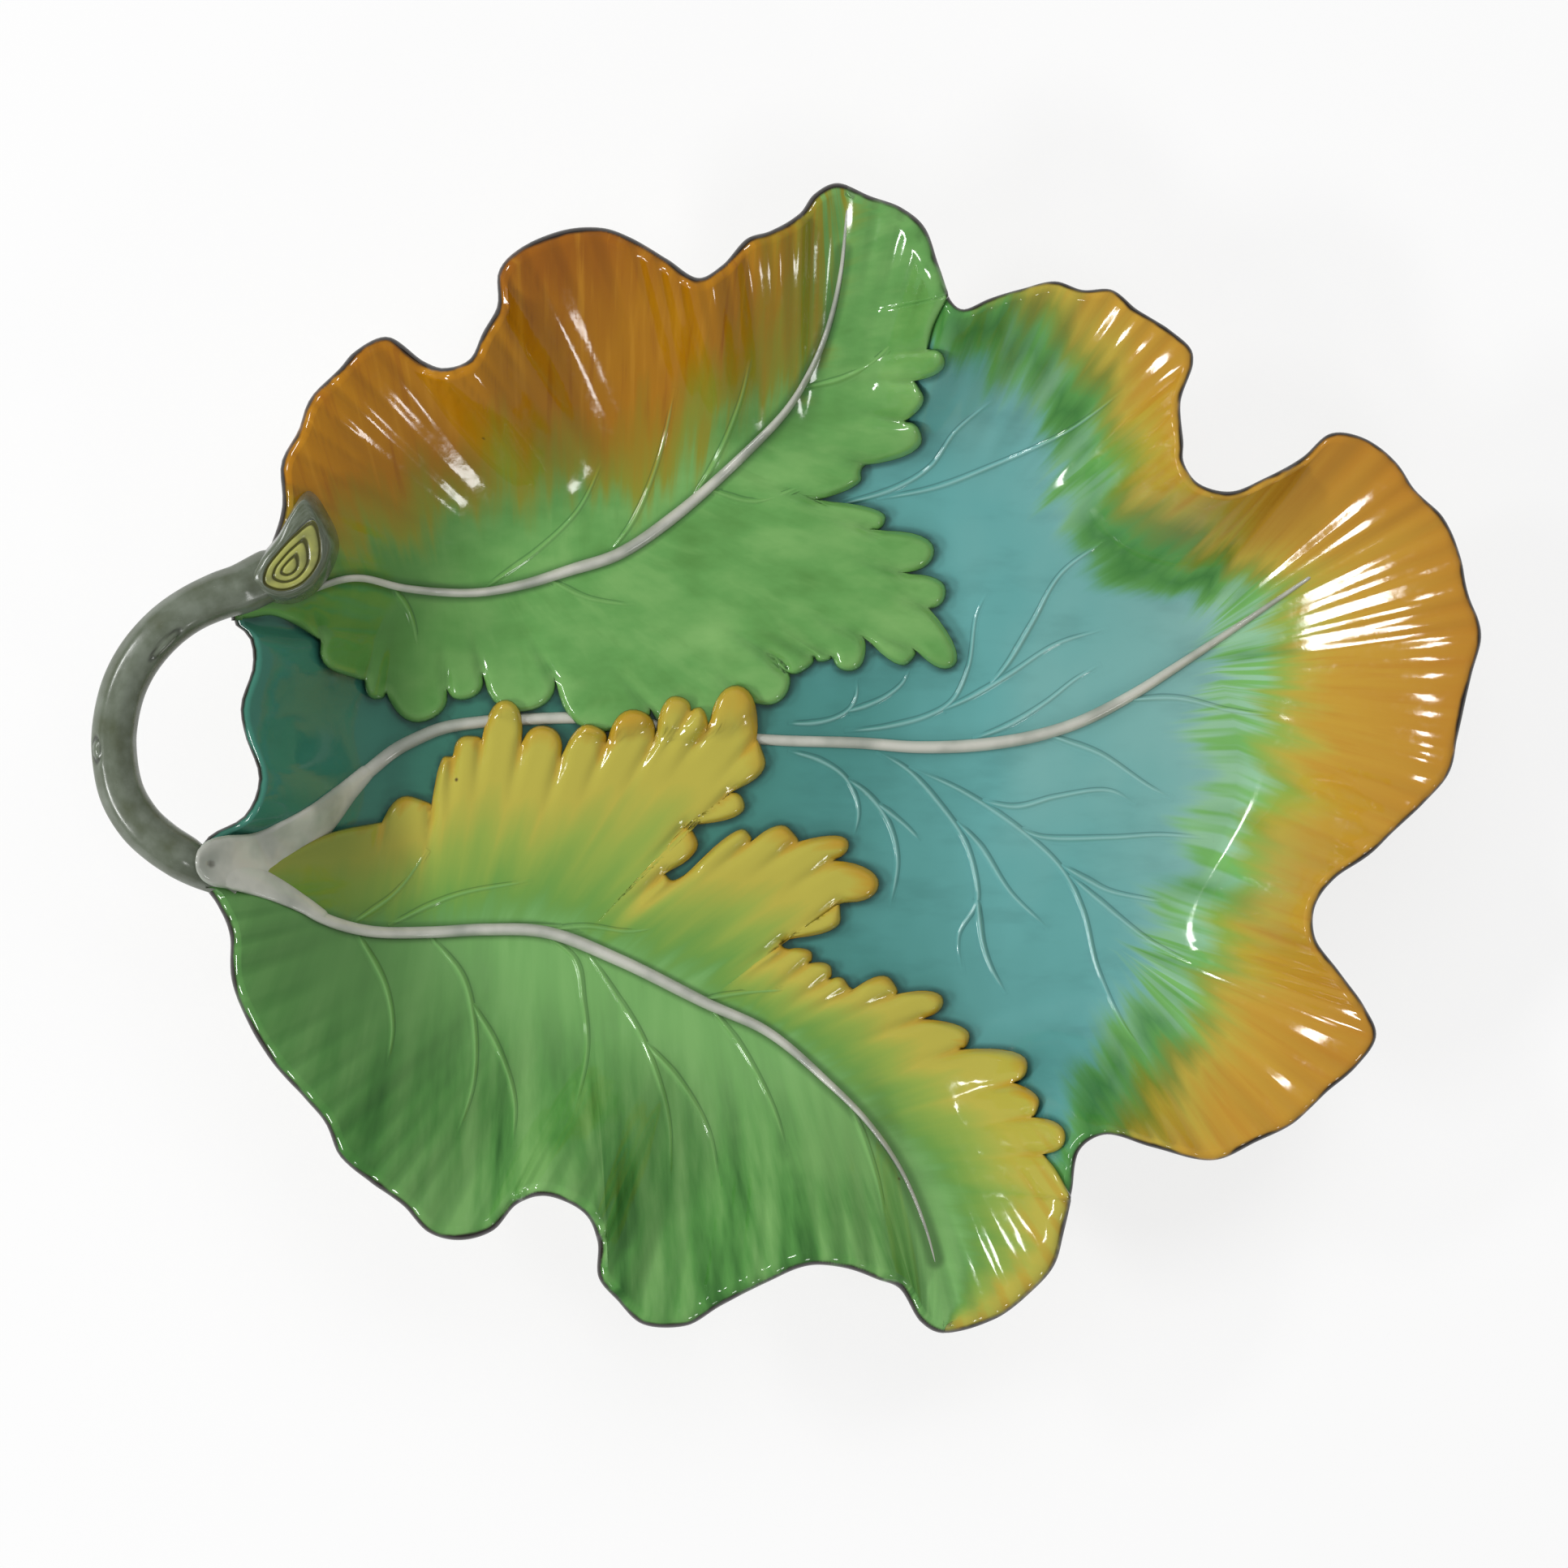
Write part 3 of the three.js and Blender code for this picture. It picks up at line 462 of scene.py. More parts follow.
@dataclass
class DishForm:
    """The upper face of the dish as a height over its plan, in millimetres."""

    floor_length: float = 212.0
    floor_width: float = 138.0
    floor_shift: float = 6.0
    rim_rise: float = 34.0
    rim_wave: float = 30.0
    mean_length: float = 300.0
    mean_width: float = 256.0
    wall: float = 4.0
    seam: float = 0.3
    lip_slope: float = 0.6
    steepest: float = 2.2
    leaf: float = 2.4
    leaf_at_rim: float = 1.5
    fold_inset: float = 40.0
    fold_reach: float = 63.0
    bend_reach: float = 15.8
    line_window: float = 110.0
    halvings: int = 18
    flute_pitch: float = 7.6
    flute_depth: float = 0.72
    flute_drift: float = 1.6
    pocket: tuple[float, float] = (0.12, 0.3)
    rim_steps: int = 6000
    floor_top: float = field(init=False)

    def __post_init__(self) -> None:
        """Walks the rim counter-clockwise from -X and lays the wall's lines from the floor's edge to it.

        The feet of the lines go round with the points that lie inside the rim, averaged, so that the
        wall folds into a notch and never steps.
        """
        self.floor_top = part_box("foot_ring")[1].z / MM + self.seam + self.wall
        line = spline(RIM[::-1], self.rim_steps, closed=True)
        line = np.roll(line, -int(np.argmin(bearing(line))), axis=0)
        turns = np.unwrap(bearing(line))
        steps = np.arange(self.rim_steps)
        self.rim_line, self.rim_dots = line, line[::4]
        self.rim_angle = np.maximum.accumulate(turns) + 1e-9 * steps
        self.rim_length = line_length(np.vstack([line, line[:1]]))
        step = self.rim_length / self.rim_steps
        self.rim_arc = steps * step
        way = np.roll(line, -1, axis=0) - np.roll(line, 1, axis=0)
        way = np.stack([averaged(axis, round(self.bend_reach / step)) for axis in way.T], -1)
        self.outward = -unit(left_of(way))
        inside = line - self.fold_inset * self.outward
        drift = np.angle(np.exp(1j * (bearing(inside) - turns)))
        lap = 2 * np.pi * steps / self.rim_steps
        angle = averaged(turns + drift - lap, round(self.fold_reach / step)) + lap
        self.feet = self.floor_edge(angle)[:, None] * np.stack([np.cos(angle), np.sin(angle)], -1)
        mean = self.oval(turns, self.mean_length / 2, self.mean_width / 2, 0)
        radius = np.hypot(line[:, 0], line[:, 1])
        self.rise = self.rim_rise - self.rim_wave * (radius / mean - 1)

    def along(self, table: Array, arc: Array) -> Array:
        """A table of the rim, read at lengths along it."""
        if table.ndim == 1:
            return np.interp(arc, self.rim_arc, table, period=self.rim_length)
        return np.stack([self.along(axis, arc) for axis in table.T], -1)

    def inset(self, arc: Array, amount: float) -> Array:
        """Places square to the rim, outside it by an amount."""
        return self.along(self.rim_line, arc) + amount * self.along(self.outward, arc)

    def arc_at(self, angle: Array) -> Array:
        """Length along the rim at polar angles."""
        return np.interp(angle, self.rim_angle, self.rim_arc)

    def angle_at(self, arc: Array) -> Array:
        """Polar angle at lengths along the rim."""
        return np.interp(arc, self.rim_arc, self.rim_angle)

    @staticmethod
    def oval(angle: Array, half_length: float, half_width: float, shift: float) -> Array:
        """Distance from the origin to an oval whose middle is shifted along X."""
        c, s, o = np.cos(angle) / half_length, np.sin(angle) / half_width, shift / half_length
        squares = c * c + s * s
        return (c * o + np.sqrt(c * c * o * o + squares * (1 - o * o))) / squares

    def floor_edge(self, angle: Array, inset: float = 0.0) -> Array:
        """Distance from the origin to the floor's edge."""
        half = self.floor_length / 2 - inset, self.floor_width / 2 - inset
        return self.oval(angle, half[0], half[1], self.floor_shift)

    def flutes(self, arc: Array, angle: Array) -> Array:
        """Soft flutes: 1 on a crest and 0 in a valley, a raised cosine of the phase along the rim.

        Args:
            arc: Lengths along the rim.
            angle: Polar angles, which leave the pocket by the handle plain.

        Returns:
            The flutes' crests.
        """
        turn = 2 * np.pi * arc / self.rim_length
        drift = 0.9 * np.sin(9 * turn) + 0.7 * np.sin(16 * turn + 2) + 0.5 * np.sin(29 * turn + 4)
        phase = round(self.rim_length / self.flute_pitch) * turn + self.flute_drift * drift
        crest = 0.5 + 0.5 * np.cos(phase)
        plain = smooth(np.abs(np.abs(angle) - np.pi), *self.pocket)
        return 0.5 + (crest - 0.5) * plain

    def arc_through(self, plan: Array) -> Array:
        """Length along the rim of the wall's line through each place, found by halving.

        A place lies to the left of the lines before it and to the right of those after it.

        Args:
            plan: Array of shape (..., 2).

        Returns:
            Lengths of shape (...).
        """
        angle = bearing(plan)
        radius = np.maximum(np.hypot(plan[..., 0], plan[..., 1]), 1e-9)
        place = plan * np.maximum(1, self.floor_edge(angle) / radius)[..., None]
        guess = self.arc_at(angle)
        low, high = guess - self.line_window, guess + self.line_window
        for _ in range(self.halvings):
            middle = (low + high) / 2
            foot = self.along(self.feet, middle)
            way, reach = self.along(self.rim_line, middle) - foot, place - foot
            left = way[..., 0] * reach[..., 1] >= way[..., 1] * reach[..., 0]
            low, high = np.where(left, middle, low), np.where(left, high, middle)
        return (low + high) / 2

    def survey(self, plan: Array) -> Survey:
        """Heights and rim values at places of the plan.

        The wall leaves the floor level and climbs in a cubic that ends at the lip's slope; lobes that
        reach out fall and notches stand up; flutes grow with the wall's width.

        Args:
            plan: Array of shape (..., 2).

        Returns:
            The survey of those places.
        """
        angle = bearing(plan)
        radius = np.hypot(plan[..., 0], plan[..., 1])
        arc = self.arc_through(plan)
        foot = self.along(self.feet, arc)
        way = self.along(self.rim_line, arc) - foot
        run = np.hypot(way[..., 0], way[..., 1])
        share = ((plan - foot) * way).sum(-1) / run**2
        share = np.where(radius < self.floor_edge(angle), np.minimum(share, 0), share)
        w = np.clip(share, 0, 1.02)
        rise, lip = self.along(self.rise, arc), self.lip_slope
        climb = w * w * (3 - lip - (2 - lip) * w)
        slope = rise / run * w * (2 * (3 - lip) - 3 * (2 - lip) * w)
        crest = self.flutes(arc, angle)
        height = self.floor_top + rise * climb + self.flute_depth * (crest - 0.5) * w**2
        upright = np.minimum(self.steepest, np.hypot(1, slope))
        return Survey(plan, angle, radius, arc, w, run * (1 - share), height, upright, crest)

    def leaf_thickness(self, at: Survey) -> Array:
        """Upright thickness of a leaf laid over the dish, with its seam."""
        return (self.seam + lerp(self.leaf, self.leaf_at_rim, at.across)) * at.upright

    def lip(self, arc: Array, depth: float, grow: float, laid: bool, steps: int) -> Array:
        """Rounded lip: a half circle in the upright plane square to the rim.

        Args:
            arc: Lengths along the rim of the columns.
            depth: Thickness of the lip.
            grow: How far it stands out past the rim.
            laid: Whether it is the lip of a leaf laid over the dish.
            steps: Number of rows, from the top of the round to its underside.

        Returns:
            Points of shape (steps, columns, 3).
        """
        turn = np.linspace(0, np.pi, steps)[:, None]
        top = self.inset(arc, grow - depth / 2)
        at = self.survey(top)
        level = at.height + (self.leaf_thickness(at) if laid else 0)
        plan = top + (depth / 2 * np.sin(turn))[..., None] * self.along(self.outward, arc)
        return stack(plan, level - depth / 2 * (1 - np.cos(turn)))

    @staticmethod
    def below_lip(depth: float, steps: int) -> Array:
        """Lengths down the lower half of a lip from its outermost line, one for each of its rows."""
        turn = np.linspace(0, np.pi, steps)[:, None]
        return (turn[turn[:, 0] > np.pi / 2] - np.pi / 2) * depth / 2


def linear(colour: Colour) -> tuple[float, float, float, float]:
    """Screen colour of 0 to 255 as a linear one."""
    share = np.asarray(colour, float) / 255
    value = np.where(share <= 0.04045, share / 12.92, ((share + 0.055) / 1.055) ** 2.4)
    return (*(float(v) for v in value), 1.0)


class GlazeBench:
    """Lays out the nodes of one glaze."""

    def __init__(self, name: str) -> None:
        """Starts an empty material."""
        self.material = bpy.data.materials.new(name)
        self.material.use_nodes = True
        self.tree = self.material.node_tree
        self.tree.nodes.clear()

    def node(self, kind: str, inputs: dict | None = None, **settings: object) -> bpy.types.Node:
        """A new node with its settings, whose inputs are then set or linked.

        Args:
            kind: Blender's name of the node.
            inputs: Values or sockets by the name or number of the input.
            **settings: Properties of the node.

        Returns:
            The node.
        """
        made = self.tree.nodes.new(kind)
        for key, value in settings.items():
            setattr(made, key, value)
        for key, value in (inputs or {}).items():
            self.feed(made.inputs[key], value)
        return made

    def feed(self, socket: Socket, value: object) -> None:
        """Links a socket, or sets a number or a colour on it.

        Args:
            socket: An input of a node.
            value: A socket to link, a number, a vector, or a colour of 0 to 255.
        """
        if isinstance(value, Socket):
            self.tree.links.new(value, socket)
        elif isinstance(value, tuple) and len(value) == 3 and socket.type == "RGBA":
            socket.default_value = linear(value)
        else:
            socket.default_value = value

    def layer(self, layer: Layer) -> Socket:
        """A value that the mesh carries."""
        made = self.node("ShaderNodeAttribute", attribute_name=layer.value)
        return made.outputs["Vector" if layer is Layer.FLOW else "Fac"]

    def place(self) -> Socket:
        """Object coordinates."""
        return self.node("ShaderNodeTexCoord").outputs["Object"]

    def axes(self, vector: Socket) -> list[Socket]:
        """X, Y and Z of a vector."""
        return list(self.node("ShaderNodeSeparateXYZ", {0: vector}).outputs)

    def math(self, operation: str, a: object, b: object = 0.0, c: object = 0.0) -> Socket:
        """A sum of one to three values."""
        return self.node("ShaderNodeMath", {0: a, 1: b, 2: c}, operation=operation).outputs[0]

    def add(self, a: object, b: object) -> Socket:
        """Two values added."""
        return self.math("ADD", a, b)

    def times(self, a: object, b: object) -> Socket:
        """Two values multiplied."""
        return self.math("MULTIPLY", a, b)

    def band(self, value: Socket, low: float, high: float, top: float = 1.0) -> Socket:
        """Smooth step of a value from 0 at low to top at high."""
        ends = {"Value": value, "From Min": low, "From Max": high, "To Min": 0.0, "To Max": top}
        return self.node("ShaderNodeMapRange", ends, interpolation_type="SMOOTHSTEP").outputs[0]

    def ramp(self, value: Socket, low: float, high: float, stops: Stops) -> Socket:
        """Colours along a value.

        Args:
            value: The value.
            low: Its lowest number.
            high: Its highest number.
            stops: Numbers between them, each with its colour.

        Returns:
            The colour.
        """
        share = self.node("ShaderNodeMapRange", {"Value": value, "From Min": low, "From Max": high})
        made = self.node("ShaderNodeValToRGB", {0: share.outputs[0]})
        elements = made.color_ramp.elements
        while len(elements) < len(stops):
            elements.new(1.0)
        for element, (number, colour) in zip(elements, stops):
            element.position = (number - low) / (high - low)
            element.color = linear(colour)
        return made.outputs[0]

    def mix(self, share: object, a: object, b: object, blend: str = "MIX") -> Socket:
        """Two colours mixed."""
        coats = {"Factor": share, "A": a, "B": b}
        return self.node("ShaderNodeMix", coats, data_type="RGBA", blend_type=blend).outputs["Result"]

    def tint(
        self, below: object, over: Colour, value: Socket, low: float, high: float, top: float = 1.0
    ) -> Socket:
        """A colour laid over another where a value goes from low to high, up to the share top."""
        return self.mix(self.band(value, low, high, top), below, over)

    def noise(self, vector: Socket, stretch: Stretch, detail: float) -> Socket:
        """Noise from about 0.25 to 0.75, stretched evenly or along the axes of a vector."""
        scale = (stretch,) * 3 if isinstance(stretch, float) else stretch
        mapping = self.node("ShaderNodeMapping", {"Vector": vector, "Scale": scale})
        grain = {"Vector": mapping.outputs[0], "Scale": 1.0, "Detail": detail}
        return self.node("ShaderNodeTexNoise", grain).outputs["Fac"]

    def swing(self, vector: Socket, stretch: Stretch, detail: float, reach: float) -> Socket:
        """Noise as a swing about zero, as wide as reach on each side."""
        return self.times(self.math("SUBTRACT", self.noise(vector, stretch, detail), 0.5), 4.0 * reach)

    def fire(self, colour: Socket, roughness: float, ripple: float = 0.12) -> Material:
        """Closes the glaze with a glossy shader, soft ripples and a little wear in its gloss.

        Args:
            colour: Its colour.
            roughness: Its mean roughness.
            ripple: Strength of the ripples.

        Returns:
            The material.
        """
        place = self.place()
        pits, waves = self.noise(place, 420.0, 2.0), self.noise(place, 95.0, 1.0)
        relief = self.add(self.times(pits, 0.15), waves)
        bump = self.node("ShaderNodeBump", {"Strength": ripple, "Distance": RIPPLE_DEPTH, "Height": relief})
        gloss = self.math("MULTIPLY_ADD", self.band(pits, 0.45, 0.75), 0.08, roughness)
        looks = {"Base Color": colour, "Roughness": gloss, "IOR": GLAZE_IOR, "Normal": bump.outputs[0]}
        shader = self.node("ShaderNodeBsdfPrincipled", looks)
        self.node("ShaderNodeOutputMaterial", {"Surface": shader.outputs[0]})
        return self.material


@dataclass(frozen=True)
class RimLine:
    """The dark line that the glaze leaves along the rim, and the pin holes in the glaze."""

    dark: Colour = (28, 20, 12)
    width: float = 0.8
    speck: Colour = (72, 52, 20)

    def lay(self, bench: GlazeBench, colour: Socket) -> Socket:
        """Draws the line and the pin holes over a colour.

        Args:
            bench: The glaze's bench.
            colour: Colour below.

        Returns:
            The new colour.
        """
        place = bench.place()
        reach = bench.add(bench.layer(Layer.RIM), bench.swing(place, 90.0, 2.0, 0.55))
        line = bench.band(reach, self.width + 0.45, self.width - 0.35)
        holes = bench.node("ShaderNodeTexVoronoi", {"Vector": place, "Scale": 46.0})
        rare = bench.band(bench.noise(place, 31.0, 0.0), 0.6, 0.66)
        hole = bench.times(bench.band(holes.outputs["Distance"], 0.04, 0.02), rare)
        return bench.mix(line, bench.mix(hole, colour, self.speck), self.dark)


@dataclass(frozen=True)
class LeafGlaze:
    """What the glazes of the three leaves share: the colour of their pools and painted shade, the rim's line
    and the gloss.
    """

    # Colour of glaze pools and of painted shade.
    pool_and_shadow: Colour = (34, 78, 34)
    rim: RimLine = RimLine()
    roughness: float = 0.09

    def close(self, bench: GlazeBench, colour: Socket, crest: Colour, share: float) -> Material:
        """Lightens the veins, paints shade along their sides (mostly a painted shadow down one flank), draws
        the rim's line and fires the glaze.

        Args:
            bench: The glaze's bench.
            colour: Colour below.
            crest: Colour of the veins' crests.
            share: How much of it is laid on.

        Returns:
            The material.
        """
        ridge = bench.layer(Layer.RIDGE)
        colour = bench.tint(colour, crest, ridge, 0.1, 1.0, share)
        # Painted shadow: darker where the ridge value falls below zero, far more on one flank of each vein
        # than the other.
        colour = bench.tint(colour, self.pool_and_shadow, ridge, -0.1, -1.0, 0.6)
        return bench.fire(self.rim.lay(bench, colour), self.roughness)


@dataclass(frozen=True)
class TurquoiseGlaze(LeafGlaze):
    """Turquoise glaze that is brushed through green into ochre along the rim."""

    teal: Colour = (58, 122, 104)
    deep: Colour = (72, 138, 132)
    middle: Colour = (100, 168, 166)
    pale: Colour = (142, 188, 182)
    mint: Colour = (150, 200, 162)
    lime: Colour = (118, 184, 92)
    moss: Colour = (66, 130, 60)
    green: Colour = (88, 152, 74)
    spring: Colour = (150, 176, 76)
    olive: Colour = (132, 142, 52)
    straw: Colour = (188, 168, 62)
    ochre: Colour = (197, 154, 50)
    amber: Colour = (182, 122, 30)
    pool_and_shadow: Colour = (24, 66, 62)
    crest: Colour = (168, 212, 206)

    def water(self, bench: GlazeBench) -> Socket:
        """The turquoise, washed, with painted shade and light: darker towards the handle end and paler to
        the right and top, and darker beside ribs and leaf edges where the glaze pools and painted shade
        lies.

        Args:
            bench: The glaze's bench.

        Returns:
            The colour.
        """
        place, pool = bench.place(), bench.layer(Layer.POOL_AND_SHADE)
        x, y, _ = bench.axes(place)
        clouds = bench.swing(place, (26.0, 17.0, 26.0), 3.0, 0.02)
        # Painted shade and light: the colour runs from teal at the handle end (-X) to pale at the right, and
        # a little paler towards +Y.
        drift = bench.add(bench.math("MULTIPLY_ADD", y, 0.3, x), clouds)
        stops = [
            (-0.14, self.teal), (-0.07, self.teal), (0.01, self.deep), (0.06, self.middle),
            (0.125, self.pale),
        ]
        colour = bench.ramp(drift, -0.15, 0.15, stops)
        wash = bench.noise(place, (60.0, 160.0, 60.0), 4.0)
        colour = bench.tint(colour, self.pool_and_shadow, wash, 0.45, 0.75, 0.14)
        # Beside the leaves' edges, the ribs and the stalk: a narrow dark line of glaze pooling and a wider
        # halo of painted shade.
        edge = bench.add(bench.band(pool, 1.8, 0.2, 0.55), bench.band(pool, 7.0, 1.0, 0.12))
        return bench.mix(edge, colour, self.pool_and_shadow)

    def material(self) -> Material:
        """Builds the glaze.

        Returns:
            The material.
        """
        bench = GlazeBench("turquoise_glaze")
        flow = bench.layer(Layer.FLOW)
        strokes = bench.swing(flow, (0.9, 0.2, 1.0), 2.0, 6.0)
        hairs = bench.swing(flow, (4.0, 0.4, 1.0), 2.0, 2.0)
        brushed = bench.add(bench.layer(Layer.PAINT), bench.add(strokes, hairs))
        warm = [
            (-16, self.middle), (-9, self.green), (-3, self.moss), (2, self.green), (9, self.olive),
            (15, self.straw), (24, self.ochre), (62, self.amber),
        ]
        soft = [
            (-16, self.pale), (-8, self.mint), (0, self.mint), (6, self.spring), (12, self.straw),
            (20, self.ochre), (62, self.amber),
        ]
        fresh = [
            (-16, self.mint), (-9, self.lime), (2, self.lime), (8, self.spring), (15, self.straw),
            (22, self.ochre), (62, self.amber),
        ]
        warm, soft, fresh = (bench.ramp(brushed, -16, 62, stops) for stops in (warm, soft, fresh))
        dabs = bench.band(bench.noise(flow, (2.0, 0.16, 1.0), 2.0), 0.45, 0.6, 0.9)
        patches = bench.swing(flow, (0.55, 0.1, 1.0), 2.0, 0.55)
        fringe = bench.band(bench.add(bench.layer(Layer.FRINGE), patches), 0.1, 1.1)
        band = bench.mix(fringe, bench.mix(dabs, soft, fresh), warm)
        ripe = bench.band(brushed, 6.0, 20.0, 0.45)
        streaks = bench.band(bench.noise(flow, (3.2, 0.3, 1.0), 3.0), 0.45, 0.75)
        valleys = bench.band(bench.layer(Layer.CREST), 0.5, 0.0, 0.3)
        for share in (streaks, valleys):
            band = bench.mix(bench.times(share, ripe), band, self.amber)
        colour = bench.mix(bench.band(brushed, -18.0, -6.0), self.water(bench), band)
        return self.close(bench, colour, self.crest, 0.36)


@dataclass(frozen=True)
class UpperLeafGlaze(LeafGlaze):
    """Green glaze that is brushed into brown along the rim."""

    shade: Colour = (76, 128, 54)
    green: Colour = (100, 158, 82)
    light: Colour = (130, 180, 104)
    olive: Colour = (136, 140, 42)
    tan: Colour = (158, 124, 20)
    brown: Colour = (174, 116, 4)
    rust: Colour = (150, 88, 2)
    honey: Colour = (196, 138, 30)
    dim: Colour = (190, 190, 190)
    pool_and_shadow: Colour = (34, 78, 34)

    def material(self) -> Material:
        """Builds the glaze.

        Returns:
            The material.
        """
        bench = GlazeBench("upper_leaf_glaze")
        place, flow = bench.place(), bench.layer(Layer.FLOW)
        wash = bench.noise(place, (48.0, 90.0, 48.0), 4.0)
        leaf = bench.ramp(wash, 0.1, 0.9, [(0.15, self.shade), (0.47, self.green), (0.8, self.light)])
        dabs = bench.noise(flow, (2.2, 0.6, 1.0), 3.0)
        leaf = bench.tint(leaf, self.light, dabs, 0.5, 0.7, 0.3)
        leaf = bench.tint(leaf, self.shade, dabs, 0.46, 0.3, 0.2)
        # Painted shade: the leaf darkens towards the left end of the dish (-X).
        leaf = bench.tint(leaf, self.shade, bench.axes(place)[0], -0.055, -0.11, 0.75)
        strokes = bench.swing(flow, (1.1, 0.2, 1.0), 3.0, 8.0)
        hairs = bench.swing(flow, (5.0, 0.35, 1.0), 3.0, 2.5)
        brushed = bench.add(bench.layer(Layer.PAINT), bench.add(strokes, hairs))
        stops = [
            (-18, self.green), (-6, self.olive), (4, self.tan), (12, self.brown), (26, self.brown),
            (50, self.rust),
        ]
        warm = bench.ramp(brushed, -18, 50, stops)
        streaks = bench.noise(flow, (4.0, 0.25, 1.0), 3.0)
        ripe = bench.band(brushed, 0.0, 12.0)
        warm = bench.mix(bench.times(bench.band(streaks, 0.52, 0.72, 0.5), ripe), warm, self.honey)
        warm = bench.mix(bench.times(bench.band(streaks, 0.46, 0.3, 0.55), ripe), warm, self.rust)
        colour = bench.mix(bench.band(brushed, -17.0, -5.0), leaf, warm)
        edge = bench.layer(Layer.EDGE)
        colour = bench.tint(colour, self.light, edge, 3.4, 0.9, 0.35)
        # Darker at the toothed edge and beside the midrib: glaze pooling there, with painted shade.
        colour = bench.tint(colour, self.pool_and_shadow, edge, 0.7, 0.1, 0.75)
        colour = bench.tint(colour, self.pool_and_shadow, bench.layer(Layer.POOL_AND_SHADE), 3.0, 1.2, 0.5)
        # Painted shade in the flute valleys, with glaze pooling there: the colour is multiplied by grey.
        valleys = bench.band(bench.layer(Layer.CREST), 0.5, 0.05, 0.3)
        colour = bench.mix(valleys, colour, self.dim, "MULTIPLY")
        return self.close(bench, colour, self.light, 0.4)


@dataclass(frozen=True)
class LowerLeafGlaze(LeafGlaze):
    """Green glaze that runs into yellow on the toothed half."""

    shade: Colour = (44, 98, 36)
    green: Colour = (82, 142, 66)
    light: Colour = (122, 172, 98)
    young: Colour = (126, 178, 104)
    fresh: Colour = (112, 156, 68)
    spring: Colour = (146, 168, 70)
    yellow: Colour = (184, 174, 70)
    olive: Colour = (100, 126, 46)
    ochre: Colour = (186, 150, 44)
    pool_and_shadow: Colour = (34, 72, 26)

    def material(self) -> Material:
        """Builds the glaze.

        Returns:
            The material.
        """
        bench = GlazeBench("lower_leaf_glaze")
        place, flow = bench.place(), bench.layer(Layer.FLOW)
        crest, (x, y, _) = bench.layer(Layer.CREST), bench.axes(place)
        strokes = bench.noise(flow, (1.5, 0.2, 1.0), 4.0)
        leaf = bench.ramp(strokes, 0.28, 0.72, [(0.3, self.shade), (0.46, self.green), (0.66, self.light)])
        leaf = bench.tint(leaf, self.young, bench.axes(flow)[1], 5.5, 0.5, 0.75)
        leaf = bench.tint(leaf, self.light, bench.noise(place, 30.0, 3.0), 0.52, 0.7, 0.5)
        # Painted shade in the flute valleys and the grooves from the slits, with glaze pooling there: darker
        # green.
        leaf = bench.tint(leaf, self.shade, crest, 0.6, 0.1, 0.25)
        # Painted shade: the leaf darkens towards the left end of the dish (-X).
        leaf = bench.tint(leaf, self.shade, x, -0.06, -0.11, 0.5)
        hairs = bench.swing(flow, (2.4, 0.3, 1.0), 3.0, 0.09)
        brushed = bench.add(bench.layer(Layer.PAINT), hairs)
        brushed = bench.math("SUBTRACT", brushed, bench.band(y, -0.08, -0.13, 0.28))
        stops = [
            (0.0, self.green), (0.2, self.fresh), (0.42, self.spring), (0.66, self.yellow),
            (0.9, self.yellow), (1.0, self.ochre),
        ]
        warm = bench.tint(bench.ramp(brushed, 0.0, 1.0, stops), self.olive, x, -0.088, -0.112, 0.7)
        grooves = bench.times(bench.band(crest, 0.55, 0.1, 0.6), bench.band(brushed, 0.35, 0.7))
        warm = bench.mix(grooves, warm, self.ochre)
        colour = bench.mix(bench.band(brushed, -0.03, 0.2), leaf, warm)
        # Darker at the toothed edge and beside the midrib: glaze pooling there, with painted shade.
        colour = bench.tint(colour, self.pool_and_shadow, bench.layer(Layer.EDGE), 0.6, 0.1, 0.7)
        colour = bench.tint(colour, self.pool_and_shadow, bench.layer(Layer.POOL_AND_SHADE), 3.2, 1.2, 0.5)
        return self.close(bench, colour, self.light, 0.6)


@dataclass(frozen=True)
class WhiteGlaze:
    """Off-white glaze of the stalk and ribs, greyer and thinner at their foot."""

    white: Colour = (200, 200, 190)
    grey: Colour = (160, 164, 154)
    stain: Colour = (126, 142, 120)
    dimple: Colour = (96, 94, 84)

    def material(self) -> Material:
        """Builds the glaze.

        Returns:
            The material.
        """
        bench = GlazeBench("white_glaze")
        clouds = bench.noise(bench.place(), 70.0, 3.0)
        colour = bench.ramp(clouds, 0.3, 0.7, [(0.35, self.grey), (0.6, self.white)])
        colour = bench.tint(colour, self.stain, bench.layer(Layer.CREST), 0.5, 0.05, 0.7)
        colour = bench.tint(colour, self.dimple, bench.layer(Layer.POOL_AND_SHADE), 1.4, 0.3, 0.8)
        return bench.fire(colour, 0.12, 0.08)


